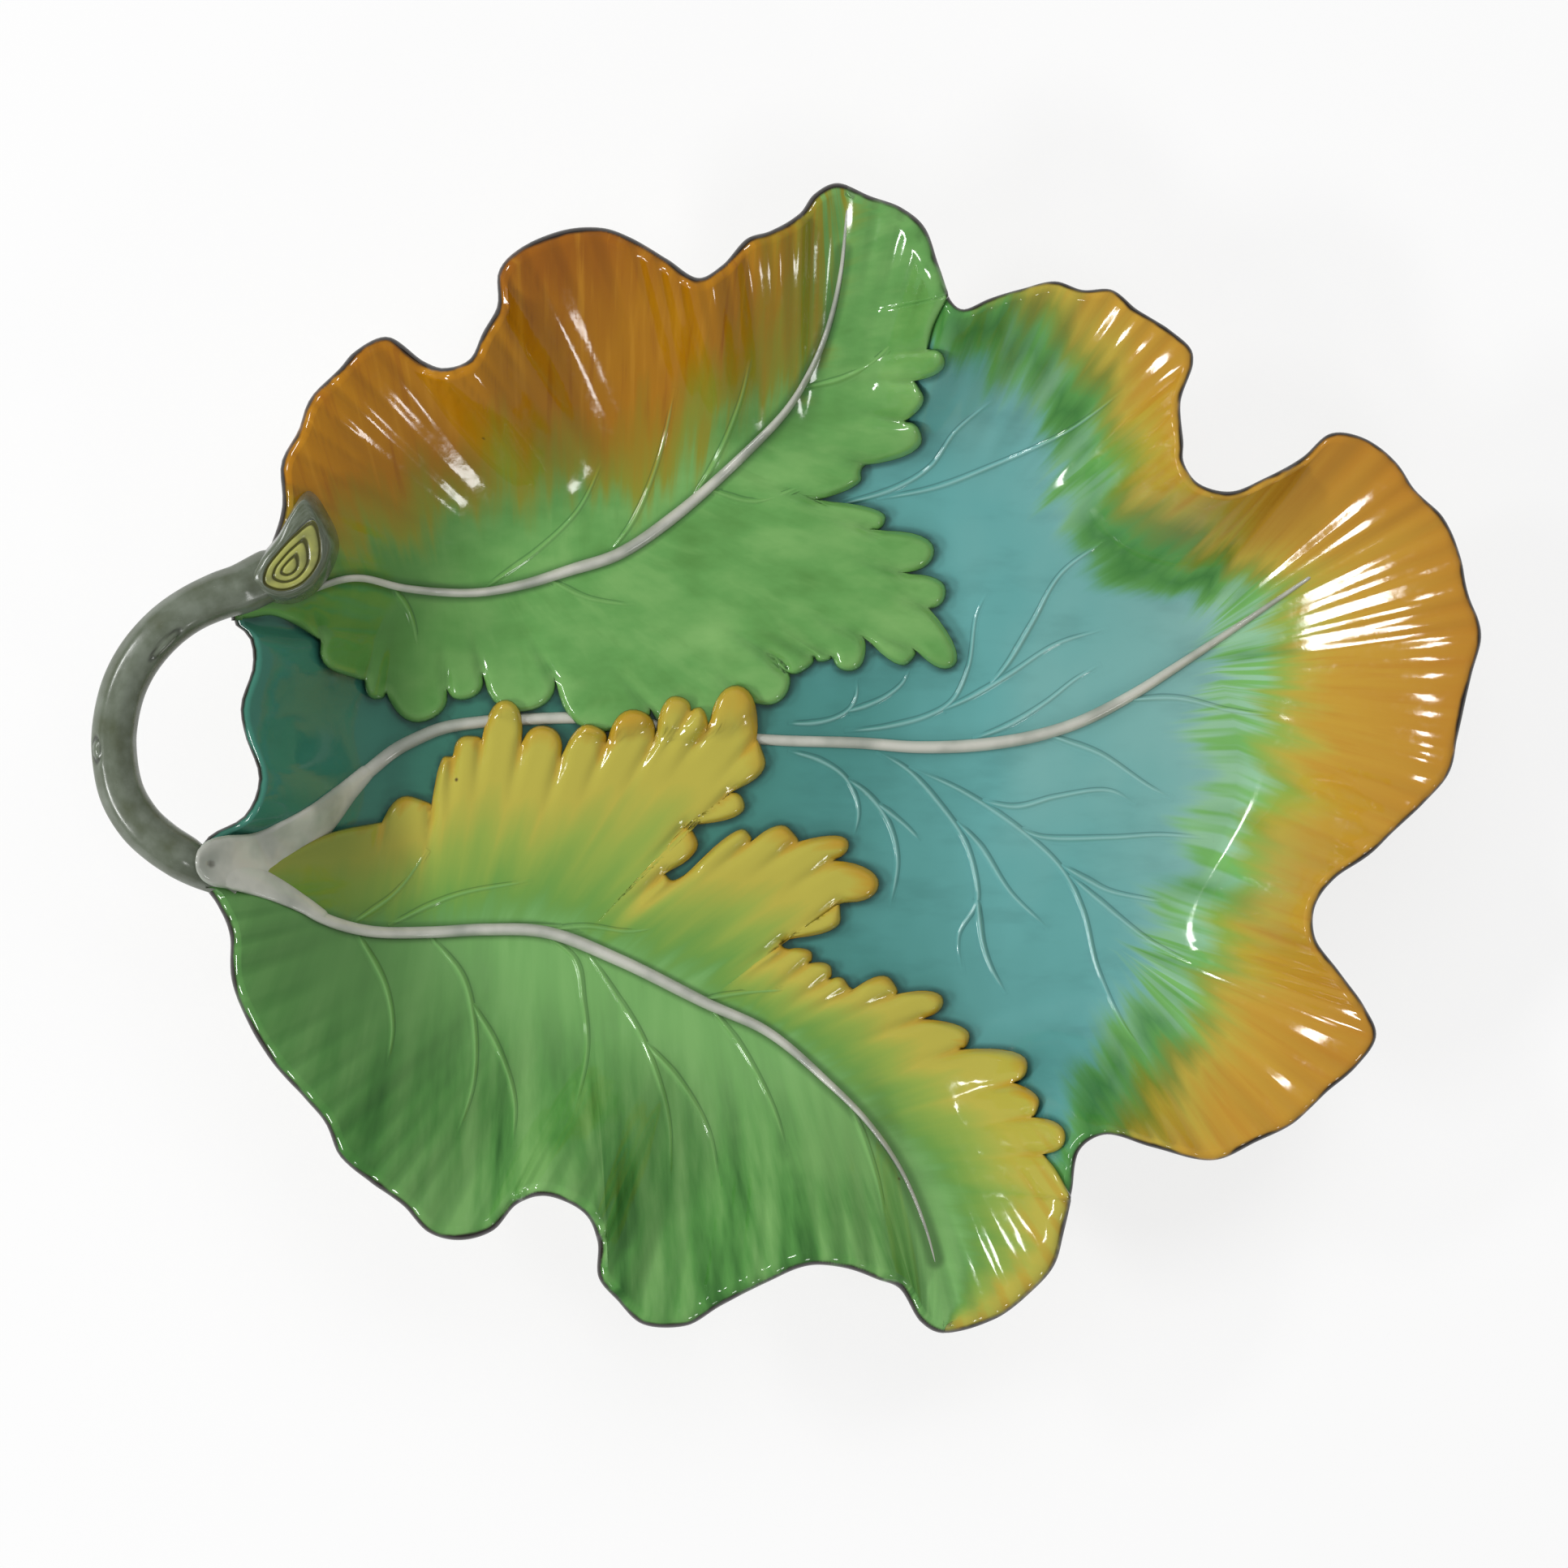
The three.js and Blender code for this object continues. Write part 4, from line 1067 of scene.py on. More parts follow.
@dataclass(frozen=True)
class TwigGlaze:
    """Grey-olive glaze of the twig, dark in its furrows, with a yellow-green sawn face."""

    bark: Colour = (94, 102, 86)
    pale: Colour = (112, 120, 106)
    dark: Colour = (40, 43, 34)
    olive: Colour = (80, 87, 66)
    wood: Colour = (170, 172, 92)
    ring: Colour = (62, 62, 20)

    def material(self) -> Material:
        """Builds the glaze.

        Returns:
            The material.
        """
        bench = GlazeBench("twig_glaze")
        grain = bench.noise(bench.layer(Layer.FLOW), (1.4, 1.6, 1.0), 4.0)
        bark = bench.ramp(grain, 0.3, 0.7, [(0.3, self.olive), (0.48, self.bark), (0.68, self.pale)])
        bark = bench.tint(bark, self.dark, bench.layer(Layer.CREST), 0.45, 0.0, 0.85)
        wood = bench.tint(self.wood, self.olive, bench.noise(bench.place(), 150.0, 3.0), 0.4, 0.7, 0.5)
        wood = bench.tint(wood, self.ring, bench.layer(Layer.RIDGE), 0.2, 0.8, 0.92)
        colour = bench.mix(bench.band(bench.layer(Layer.PAINT), 0.4, 0.6), bark, wood)
        return bench.fire(colour, 0.2)


@dataclass(frozen=True)
class CreamGlaze:
    """Cream glaze under the dish, mottled, with the foot's sole wiped to the clay."""

    cream: Colour = (222, 214, 192)
    mottle: Colour = (196, 192, 164)
    clay: Colour = (176, 140, 104)
    rim: RimLine = RimLine()

    def material(self) -> Material:
        """Builds the glaze.

        Returns:
            The material.
        """
        bench = GlazeBench("foot_glaze")
        place = bench.place()
        clouds = bench.noise(place, 40.0, 4.0)
        colour = bench.ramp(clouds, 0.3, 0.7, [(0.35, self.mottle), (0.62, self.cream)])
        level = bench.add(bench.axes(place)[2], bench.swing(place, 130.0, 2.0, 0.0004))
        colour = bench.tint(colour, self.clay, level, 0.0014, 0.0006)
        return bench.fire(self.rim.lay(bench, colour), 0.16, 0.08)


@dataclass
class TurquoiseLeaf:
    """The large leaf that is the dish itself: its fluted face, its lip and its underside."""

    form: DishForm
    columns: int = 780
    floor_rows: int = 46
    wall_rows: int = 60
    lip_rows: int = 9
    under_rows: int = 24
    shown: tuple[float, float] = (-1.05, 1.3)
    crowding: float = 1.9
    open_middle: float = 8.0
    open_half: float = 78.0
    unpainted: float = -60.0
    boundary: Points = (
        (-60, 132), (-54, 128), (-50, 116), (-43, 116.5), (-33, 114.5), (-21, 109), (-13, 110.5),
        (-3, 114), (7.5, 115), (15, 122), (20, 122), (26, 107), (33, 101), (40, 101), (46, 104),
        (52, 115), (64, 119), (75, 119),
    )
    fringes: Points = (
        (-60, 1.1), (-40, 1.1), (-34, 0.5), (-21, 0.4), (-12, 0.4), (0, 0.1), (10, 0.1), (18, 0.35),
        (24, 0.8), (30, 0.9), (40, 0.5), (50, 0.85), (60, 0.8), (66, 1.1), (75, 1.1),
    )

    def stations(self) -> Array:
        """Lengths along the rim of the columns, closer together where the turquoise shows.

        Each step of the rim has a weight, and the columns share out the sum of weights evenly.

        Returns:
            One length for each column.
        """
        low, high = self.shown
        arcs = np.linspace(0, self.form.rim_length, 4000)
        angle = self.form.angle_at(arcs)
        inside = smooth(angle, low - 0.1, low) - smooth(angle, high, high + 0.1)
        weight = 1 + self.crowding * inside
        reach = np.concatenate([[0.0], np.cumsum(weight)[:-1]])
        return np.interp(np.linspace(0, reach[-1], self.columns, endpoint=False), reach, arcs)

    def layers(self, at: Survey, pools: Array) -> dict[Layer, Array]:
        """Values for the glaze at surveyed places.

        Args:
            at: The survey.
            pools: Points along the edges and ribs where the glaze pools and painted shade darkens it.

        Returns:
            The values by layer.
        """
        degrees = np.degrees(at.angle)
        corners, fringes = np.asarray(self.boundary, float), np.asarray(self.fringes, float)
        paint = at.radius - np.interp(degrees, corners[:, 0], corners[:, 1])
        covered = np.abs(degrees - self.open_middle) > self.open_half
        flow = np.stack([at.arc / 10, at.inward / 10, np.zeros_like(at.arc)], -1)
        return {
            Layer.FLOW: flow,
            Layer.PAINT: np.where(covered, self.unpainted, paint),
            Layer.FRINGE: np.interp(degrees, fringes[:, 0], fringes[:, 1]),
            Layer.RIM: distance_to(at.plan, self.form.rim_dots),
            Layer.POOL_AND_SHADE: distance_to(at.plan, pools),
            Layer.CREST: 0.5 + (at.crest - 0.5) * smooth(at.across, 0.05, 0.5),
        }

    def build(self, glaze: Material, cream: Material, pools: Array) -> None:
        """Makes the face with its lip, and the underside.

        The face is a polar grid: rows run from the middle over the floor and up the wall, columns
        round the rim. The underside follows it one wall's thickness lower.

        Args:
            glaze: Glaze of the face.
            cream: Glaze of the underside.
            pools: Points where the glaze pools and painted shade darkens it.
        """
        form, arc = self.form, self.stations()
        foot, edge = form.along(form.feet, arc), form.inset(arc, -form.wall / 2)
        floor = foot * np.linspace(0, 1, self.floor_rows)[:-1, None, None]
        wall = lerp(foot, edge, np.linspace(0, 1, self.wall_rows)[:, None, None])
        at = form.survey(np.concatenate([floor, wall]))
        lip = form.lip(arc, form.wall, 0.0, False, self.lip_rows)[1:]
        points = np.concatenate([stack(at.plan, at.height), lip])
        layers = self.layers(form.survey(points[..., :2]), pools)
        below = form.below_lip(form.wall, self.lip_rows)
        layers[Layer.RIM][-len(below) :] = below
        piece = make_piece("turquoise_leaf_face", points, Facing.UP, layers, glaze, True)
        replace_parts(piece, "turquoise_leaf")
        foot, edge = foot[::2], edge[::2]
        share = np.linspace(0, 1, self.under_rows)[1:, None, None]
        below = form.survey(np.concatenate([lerp(edge, foot, share), foot * (1 - share)]))
        seat = stack(below.plan, below.height - form.wall * below.upright)
        edge = form.lip(arc[::2], form.wall, 0.0, False, 3)[2:]
        seat = np.concatenate([edge, seat])
        far = {Layer.RIM: distance_to(seat[..., :2], form.rim_dots)}
        make_piece("turquoise_leaf_underside", seat, Facing.DOWN, far, cream, True)


@dataclass
class OverlaidLeaf:
    """A leaf laid over the dish, with a toothed edge on one side of its midrib and the rim on the other."""

    form: DishForm
    name: str
    slot: str
    teeth: Points
    lead: Points
    trail: Points
    midrib: Points
    pairs: Sequence[Points]
    inner_side: float
    lean: float = 0.55
    base_lean: float = -0.1
    fullness: float = 0.62
    evenness: float = 0.1
    per_lobe: int = 14
    midrib_steps: int = 900
    lead_steps: int = 44
    trail_steps: int = 14
    shore_steps: int = 46
    outer_rows: int = 80
    inner_rows: int = 30
    lip_rows: int = 8
    shore_rows: int = 6
    edge_margin: float = 2.4
    edge_steps: Sequence[float] = (1.0, 0.62, 0.38, 0.2, 0.08, 0.0)
    edge_depth: float = 1.4
    grow: float = 0.35
    puff: float = 1.5
    puff_fade: tuple[float, float] = (3.0, 18.0)
    groove: float = 15.0
    groove_width: float = 1.5
    sunk: float = 0.5
    over: "OverlaidLeaf | None" = None

    def covers(self, plan: Array) -> Array:
        """1 well inside the leaf's toothed half and 0 well outside, by crossings of a ray with its outline.

        Args:
            plan: Array of shape (..., 2).

        Returns:
            Shares of shape (...).
        """
        edge = dense(self.lobes()[0], 1.0)
        loop = np.vstack([edge, spline(self.midrib, 120)[::-1]])
        near = (np.abs(plan - edge.mean(0)) < np.ptp(edge, axis=0)).all(-1)
        x, y = plan[near].T[:, :, None]
        (ax, ay), (bx, by) = loop.T, np.roll(loop, -1, axis=0).T
        rise = np.where(by == ay, 1e-9, by - ay)
        hits = ((ay > y) != (by > y)) & (x < ax + (y - ay) / rise * (bx - ax))
        inside = np.where(hits.sum(-1) % 2 == 1, 1.0, -1.0)
        share = np.zeros(plan.shape[:-1])
        share[near] = smooth(inside * distance_to(plan[near], edge), -2.2, 0.4)
        return share

    def lobes(self) -> tuple[Array, Array]:
        """The toothed edge as two cubic curves for each lobe, slit to tip and tip to slit.

        Returns:
            Points of the edge, and points of the chord from slit to slit.
        """
        teeth = np.asarray(self.teeth, float)
        start, tip, end = teeth[0:-1:2], teeth[1::2], teeth[2::2]
        out = tip - (start + end) / 2
        out /= np.linalg.norm(out, axis=1, keepdims=True)
        side = left_of(out)

        def towards(a: Array, b: Array, way: Array) -> Array:
            """Part of the way from a to b along a direction."""
            return a + self.fullness * ((b - a) * way).sum(-1, keepdims=True) * way

        half = self.per_lobe // 2
        t = (np.arange(half) / half)[None, :, None]
        weights = [(1 - t) ** 3, 3 * t * (1 - t) ** 2, 3 * t * t * (1 - t), t**3]
        rise = [start, towards(start, tip, out), towards(tip, start, side), tip]
        fall = [tip, towards(tip, end, side), towards(end, tip, out), end]
        halves = [sum(w * p[:, None] for w, p in zip(weights, way)) for way in (rise, fall)]
        share = np.arange(2 * half) / (2 * half)
        chord = lerp(start[:, None], end[:, None], share[None, :, None])
        return np.concatenate(halves, axis=1).reshape(-1, 2), chord.reshape(-1, 2)

    def grooves(self, plan: Array, slits: Array, roots: Array) -> Array:
        """Grooves that run on from the slits: a bell across each, which fades as it runs inwards.

        Args:
            plan: Array of shape (..., 2).
            slits: Where the grooves begin.
            roots: Points of the midrib that they run towards.

        Returns:
            Shares of shape (...), 1 at a slit.
        """
        share = np.linspace(0, 1, 24)[:, None, None]
        length = np.linalg.norm(roots - slits, axis=1, keepdims=True)
        part = np.minimum(self.groove / np.maximum(length, 1e-6), 0.6)
        lines = slits + share * (roots - slits) * part
        lines = stack(lines, np.broadcast_to(1.5 * self.groove_width * share[..., 0], lines.shape[:2]))
        far = distance_to(stack(plan, np.zeros(plan.shape[:-1])), lines.reshape(-1, 3))
        return np.exp(-((far / self.groove_width) ** 2))

    def feet(self, line: Array, places: Array) -> Array:
        """Where each place of the edge has its foot on the midrib, along slanting side veins.

        Args:
            line: Points of the midrib.
            places: Places of the edge.

        Returns:
            Shares of the midrib's length, never falling.
        """
        way = headings(line)
        lean = lerp(self.base_lean, self.lean, smooth(np.linspace(0, 1, len(line)), 0.1, 0.5))[:, None]
        slant = self.inner_side * left_of(way) + lean * way
        gap = places[:, None] - line[None]
        miss = np.abs(gap[..., 0] * slant[:, 1] - gap[..., 1] * slant[:, 0])
        behind = (gap * slant).sum(-1) < 0
        found = np.argmin(miss + 1e3 * behind, axis=1) / (len(line) - 1)
        return np.maximum.accumulate(found)

    def build(self, glaze: Material) -> None:
        """Makes the leaf as one grid of slanting columns that cross it from the rim to the toothed edge.

        Args:
            glaze: Its glaze.
        """
        form = self.form
        last = self.midrib_steps - 1
        line = spline(self.midrib, self.midrib_steps)
        edge, chord = self.lobes()
        lead = spline(self.lead, self.lead_steps)[:-1]
        trail = spline([self.teeth[-1], *self.trail], self.trail_steps)
        ends = np.vstack([trail[-1], line[-1]])
        arcs = np.linspace(*form.arc_at(bearing(ends)), self.shore_steps)[1:]
        shore = form.inset(arcs, self.grow - self.lip_depth() / 2)
        plain = len(lead) + len(edge) + len(trail)
        rim_side = np.arange(plain + len(shore)) >= plain
        arcs = np.concatenate([np.full(plain, arcs[0]), arcs])
        outline = np.vstack([lead, edge, trail, shore])
        chords = np.vstack([lead, chord, trail, shore])
        slits = np.asarray(self.teeth, float)[::2]
        roots = self.feet(line, np.vstack([slits, trail[-1:]]))
        knots = np.concatenate([[0.0], roots, [1.0]])
        marks = np.concatenate([[0], len(lead) + np.arange(len(slits)) * self.per_lobe])
        marks = np.concatenate([marks, [marks[-1] + len(trail) - 1, len(outline) - 1]])
        columns = np.arange(len(outline))
        even = np.interp(columns, [0, len(outline) - 1], [0, 1])
        foot = (1 - self.evenness) * np.interp(columns, marks, knots) + self.evenness * even
        rib = read_line(line, np.arange(self.midrib_steps), foot * last)
        outer = self.outer_half(line, foot, rib)
        hollow = ((outline - chords) * (rib - chords)).sum(1) > 0
        inner, depth, reach = self.inner_half(outline, np.where(hollow[:, None], outline, chords), rib)
        valley = self.grooves(inner, slits, line[(roots[:-1] * last).astype(int)])
        self.join(glaze, foot, valley, outline, np.where(rim_side, arcs, -1.0), outer, inner, depth, reach)

    def outer_half(self, line: Array, foot: Array, rib: Array) -> tuple[Array, Array]:
        """Straight columns from the midrib to the rim.

        Args:
            line: Points of the midrib.
            foot: Share of the midrib at each column.
            rib: Point of the midrib at each column.

        Returns:
            Plan places from the rim inwards, and the length along the rim of each column.
        """
        form = self.form
        stops = np.asarray(self.pairs, float)
        shares = np.argmin(((stops[:, None, 0] - line[None]) ** 2).sum(-1), axis=1) / (len(line) - 1)
        arcs = form.arc_at(bearing(stops[:, 1]))
        rim = np.interp(foot, shares, arcs)
        end = form.inset(rim, self.grow - self.lip_depth() / 2)
        share = np.linspace(1, 0, self.outer_rows)[:, None, None]
        return lerp(rib, end, share), rim

    def lip_depth(self) -> float:
        """Thickness of the lip where the leaf covers the rim."""
        return self.form.wall + self.form.leaf_at_rim + self.form.seam

    def inner_half(self, outline: Array, chords: Array, rib: Array) -> tuple[Array, Array, Array]:
        """Columns from the midrib over the chord of a lobe to the toothed edge.

        Args:
            outline: Edge point of each column.
            chords: Chord point of each column.
            rib: Midrib point of each column.

        Returns:
            Plan places from the midrib outwards, their distance to the edge and each column's length.
        """
        first = np.linalg.norm(chords - outline, axis=1)
        second = np.linalg.norm(rib - chords, axis=1)
        reach = np.maximum(first + second, 1e-6)
        margin = np.minimum(self.edge_margin, 0.3 * reach)
        inland = lerp(reach, margin, np.linspace(0, 1, self.inner_rows)[1:-1, None])
        depth = np.vstack([inland, np.array(self.edge_steps)[:, None] * margin])
        early = outline + (chords - outline) * (depth / np.maximum(first, 1e-6))[..., None]
        late = chords + (rib - chords) * ((depth - first) / np.maximum(second, 1e-6))[..., None]
        return np.where((depth < first)[..., None], early, late), depth, reach

    def join(
        self,
        glaze: Material,
        foot: Array,
        valley: Array,
        outline: Array,
        shore_arc: Array,
        outer: tuple[Array, Array],
        inner: Array,
        depth: Array,
        reach: Array,
    ) -> None:
        """Joins both halves and their edges into one grid and gives it its layers.

        Args:
            glaze: The leaf's glaze.
            foot: Share of the midrib at each column.
            valley: Shares of the grooves at the places of the inner half.
            outline: Edge point of each column.
            shore_arc: Length along the rim where a column's inner half ends on it, else -1.
            outer: Places of the outer half and lengths along the rim.
            inner: Places of the inner half.
            depth: Distance of those places to the edge.
            reach: Length of each inner column.
        """
        form = self.form
        at_outer, at_inner = form.survey(outer[0]), form.survey(inner)
        top = stack(outer[0], at_outer.height + form.leaf_thickness(at_outer))
        lip = form.lip(outer[1], self.lip_depth(), self.grow, True, self.lip_rows)
        rim_side = shore_arc >= 0
        inland = np.minimum(depth, distance_to(inner, dense(outline[~rim_side], 0.4)))
        puff = self.puff * (0.5 - 0.5 * smooth(inland, *self.puff_fade) - valley) * ~rim_side
        round_off = np.sqrt(1 - (1 - np.clip(inland / self.edge_depth, 0, 1)) ** 2)
        round_off = np.where(rim_side, 1.0, round_off)
        full = form.leaf_thickness(at_inner) + puff * smooth(inland, 0, 2)
        lift = form.leaf_thickness(at_inner) * self.over.covers(inner) if self.over else 0.0
        leaf = stack(inner, at_inner.height - self.sunk + lift + (full + self.sunk) * round_off)
        shore = form.lip(shore_arc, self.lip_depth(), self.grow, True, self.shore_rows)
        border = leaf[1 - self.shore_rows :]
        border[:] = np.where(rim_side[None, :, None], shore[:-1], border)
        tail = np.where(rim_side[:, None], shore[-1], leaf[-1])[None]
        points = np.concatenate([lip[:0:-1], top, leaf, tail])
        plan = points[..., :2]
        rows_out = len(lip) - 1 + len(top)
        steps = np.linalg.norm(np.diff(points[:rows_out], axis=0), axis=-1)
        run = np.cumsum(steps[::-1], axis=0)[::-1]
        away = np.concatenate([run, np.zeros((1, len(foot)))])
        back = np.concatenate([reach - depth, reach[None]])
        u = np.broadcast_to(foot * line_length(spline(self.midrib, 200)) / 10, points.shape[:2])
        v = np.concatenate([away, -back]) / 10
        at = form.survey(plan)
        side = np.concatenate([-away / np.maximum(away[0], 1e-6), back / reach])
        wave = 0.55 + (at.crest - 0.5) * smooth(at.across, 0.5, 0.95)
        furrow = np.concatenate([np.ones((rows_out, len(foot))), 1 - valley, 1 - valley[-1:]])
        layers = {
            Layer.FLOW: np.stack([u, v, np.zeros_like(v)], -1),
            Layer.PAINT: self.paint(plan, side),
            Layer.RIM: distance_to(plan, form.rim_dots),
            Layer.EDGE: distance_to(plan, outline[~rim_side]),
            Layer.POOL_AND_SHADE: distance_to(plan, spline(self.midrib, 400)[30:-30]),
            Layer.CREST: np.minimum(wave, furrow),
        }
        rim, edge = layers[Layer.RIM], layers[Layer.EDGE]
        below = form.below_lip(self.lip_depth(), self.lip_rows)
        rim[: len(below)] = below[::-1]
        below = form.below_lip(self.lip_depth(), self.shore_rows)
        rim[-len(below) :] = np.where(rim_side, below, rim[-len(below) :])
        edge[:, rim_side] = np.maximum(edge[:, rim_side], 5.0)
        piece = make_piece(f"{self.name}_face", points, Facing.UP, layers, glaze)
        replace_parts(piece, self.name)
        self.points, self.values = points, layers

    def paint(self, plan: Array, side: Array) -> Array:
        """Where the second colour lies: the share of the way from the midrib to the toothed edge."""
        return side

    def nearest(self, plan: Array) -> dict[Layer, Array]:
        """Values of the leaf's face at the grid point nearest to each place.

        Args:
            plan: Array of shape (rows, columns, 2).

        Returns:
            The values by layer.
        """
        found = by_blocks(plan, self.points[..., :2], lambda squares: squares.argmin(1))
        return {layer: v.reshape(-1, *v.shape[2:])[found] for layer, v in self.values.items()}


@dataclass
class BrownedLeaf(OverlaidLeaf):
    """The upper leaf, whose rim is brushed brown outside a line."""

    brown_line: Points = (
        (-138, 53), (-110, 59), (-92, 66), (-74, 74), (-58, 76), (-44, 73), (-31, 80), (-22, 89),
        (-9, 96), (-2, 107), (1, 118), (3, 130), (4, 150),
    )

    def paint(self, plan: Array, side: Array) -> Array:
        """Distance to the brown line, positive on the rim's side.

        Args:
            plan: Array of shape (..., 2).
            side: Shares of the way from the midrib, which this leaf doesn't use.

        Returns:
            Distances of shape (...).
        """
        line = spline(self.brown_line, 400)
        away = distance_to(plan, line)
        order = np.argsort(line[:, 0])
        above = plan[..., 1] > np.interp(plan[..., 0], line[order, 0], line[order, 1])
        return np.where(above, away, -away)


@dataclass(frozen=True)
class Rib:
    """A white rib or stalk: its middle line, and half widths, heights and lifts at equal steps along it."""

    name: str
    line: Points
    half_width: Sequence[float]
    crown: Sequence[float]
    on_leaf: bool = True
    node: str | None = None
    lift: Sequence[float] = (0.0,)
    dimple: tuple[float, float] | None = None


RIBS: Sequence[Rib] = [
    Rib(
        "stalk", STALK_MAIN, (5.5, 6.6, 6.5, 5.7, 4.2, 2.8, 1.9), (3.2, 3.4, 3.4, 3.2, 2.8, 2.4, 2.0),
        False, "forked_stalk", (6.5, 3.4, 0.6, 0, 0, 0, 0), (-142, -26),
    ),
    Rib(
        "stalk_branch", STALK_BRANCH, (3.0, 4.0, 3.4, 2.4, 1.6), (2.4, 2.6, 2.3, 2.0, 1.8),
        lift=(3.0, 1.2, 0, 0, 0),
    ),
    Rib(
        "turquoise_rib", TURQUOISE_RIB, (1.9, 1.6, 1.5, 1.4, 1.5, 1.7, 1.6, 1.1, 0.5),
        (2.0, 1.9, 1.2, 1.1, 1.6, 2.0, 1.9, 1.4, 0.7), False, "turquoise_midrib",
    ),
    Rib(
        "upper_rib", UPPER_RIB, (0.9, 1.0, 1.2, 1.6, 1.6, 1.3, 0.9, 0.65, 0.4),
        (1.6, 1.8, 2.0, 2.0, 2.0, 1.7, 1.4, 1.0, 0.5), node="upper_midrib",
    ),
    Rib(
        "lower_rib", LOWER_RIB, (1.6, 1.5, 1.6, 1.7, 1.6, 1.3, 0.9, 0.6, 0.35),
        (1.8, 2.0, 2.0, 2.0, 1.9, 1.6, 1.3, 0.9, 0.5), node="lower_midrib",
    ),
]


@dataclass
class Ridges:
    """Ribs, stalk and veins: a rounded profile carried along lines that lie on the dish or on a leaf."""

    form: DishForm
    step: float = 0.8
    across: int = 15
    sunk: float = 0.45
    dimple_depth: float = 0.7
    dimple_width: float = 1.1
    vein_half_width: Sequence[float] = (1.0, 1.6, 1.3, 1.1, 0.8)
    vein_bell: float = 0.36
    vein_lift: float = 0.03

    def strip(
        self, line: Points, half_width: Sequence[float], ends: bool = True
    ) -> tuple[Array, Array, Array]:
        """Plan places of a strip along a line.

        Args:
            line: Its points.
            half_width: Half widths at equal steps along it.
            ends: Whether the strip closes to a round at both ends.

        Returns:
            Places, the share across from -1 to 1, and the share along at each row.
        """
        rows = max(12, int(line_length(spline(line, 60)) / self.step))
        middle = spline(line, rows)
        along = np.linspace(0, 1, rows)
        half = np.interp(along, np.linspace(0, 1, len(half_width)), half_width)
        if ends:
            travel = along * line_length(middle)
            nose = np.minimum(travel, travel[-1] - travel) / np.maximum(half, 0.3)
            half = half * np.sqrt(1 - (1 - np.clip(nose, 0, 1)) ** 2)
        way = headings(middle)
        t = np.linspace(-1, 1, self.across)
        return middle[:, None] + left_of(way)[:, None] * (half[:, None] * t)[..., None], t, along

    def rib(self, rib: Rib, glaze: Material) -> None:
        """A white rib with a half-round crown, and on the stalk a dimple.

        Args:
            rib: Its line and sizes.
            glaze: Its glaze.
        """
        plan, t, along = self.strip(rib.line, rib.half_width)
        at = self.form.survey(plan)

        def spread(values: Sequence[float]) -> Array:
            """Values at equal steps as one value for each row."""
            return np.interp(along, np.linspace(0, 1, len(values)), values)[:, None]

        nose = np.linalg.norm(plan[:, -1] - plan[:, 0], axis=-1)[:, None]
        arch = np.sqrt(np.clip(1 - t * t, 0, 1))[None] * smooth(nose, 0, 1.6)
        seat = at.height + rib.on_leaf * self.form.leaf_thickness(at)
        height = seat + spread(rib.lift) - self.sunk + (spread(rib.crown) + self.sunk) * arch
        away = np.full(height.shape, 9.0)
        if rib.dimple:
            away = np.hypot(plan[..., 0] - rib.dimple[0], plan[..., 1] - rib.dimple[1])
            height = height - self.dimple_depth * np.exp(-((away / self.dimple_width) ** 2))
        layers = {Layer.CREST: np.broadcast_to(arch, height.shape), Layer.POOL_AND_SHADE: away}
        piece = make_piece(rib.name, stack(plan, height), Facing.UP, layers, glaze)
        if rib.node:
            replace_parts(piece, rib.node)

    def veins(
        self,
        name: str,
        lines: Sequence[Points],
        host: TurquoiseLeaf | OverlaidLeaf,
        glaze: Material,
        pools: Array,
        crown: float,
    ) -> None:
        """Low veins with a bell profile, in the glaze of the leaf that carries them, with a painted shadow
        along one side.

        Args:
            name: Name of the pieces.
            lines: Their middle lines.
            host: The leaf that carries them.
            glaze: Its glaze.
            pools: Points where its glaze pools and painted shade darkens it.
            crown: Height of a vein at its root.
        """
        on_leaf = isinstance(host, OverlaidLeaf)
        for number, line in enumerate(lines, 1):
            plan, t, along = self.strip(line, self.vein_half_width, ends=False)
            at = self.form.survey(plan)
            fall = crown * (1 - 0.75 * along**1.5) * smooth(along, 1.0, 0.9) * smooth(along, -0.06, 0.14)
            bell = np.exp(-((t / self.vein_bell) ** 2))[None] - np.exp(-((1 / self.vein_bell) ** 2))
            # Painted shadow: a dark band at about six tenths of the half width, strong on the left flank (t
            # > 0) and faint on the right.
            side = 0.5 + 0.35 * np.sign(t)
            dark = side * np.exp(-(((np.abs(t) - 0.6) / 0.2) ** 2))
            seat = at.height + (self.form.leaf_thickness(at) if on_leaf else 0.0)
            values = host.nearest(plan) if on_leaf else host.layers(at, pools)
            fade = smooth(along, 1.0, 0.8) * smooth(along, 0.0, 0.12)
            values[Layer.RIDGE] = (bell - dark[None]) * fade[:, None]
            height = seat + self.vein_lift + fall[:, None] * bell
            make_piece(f"{name}_{number}", stack(plan, height), Facing.UP, values, glaze)


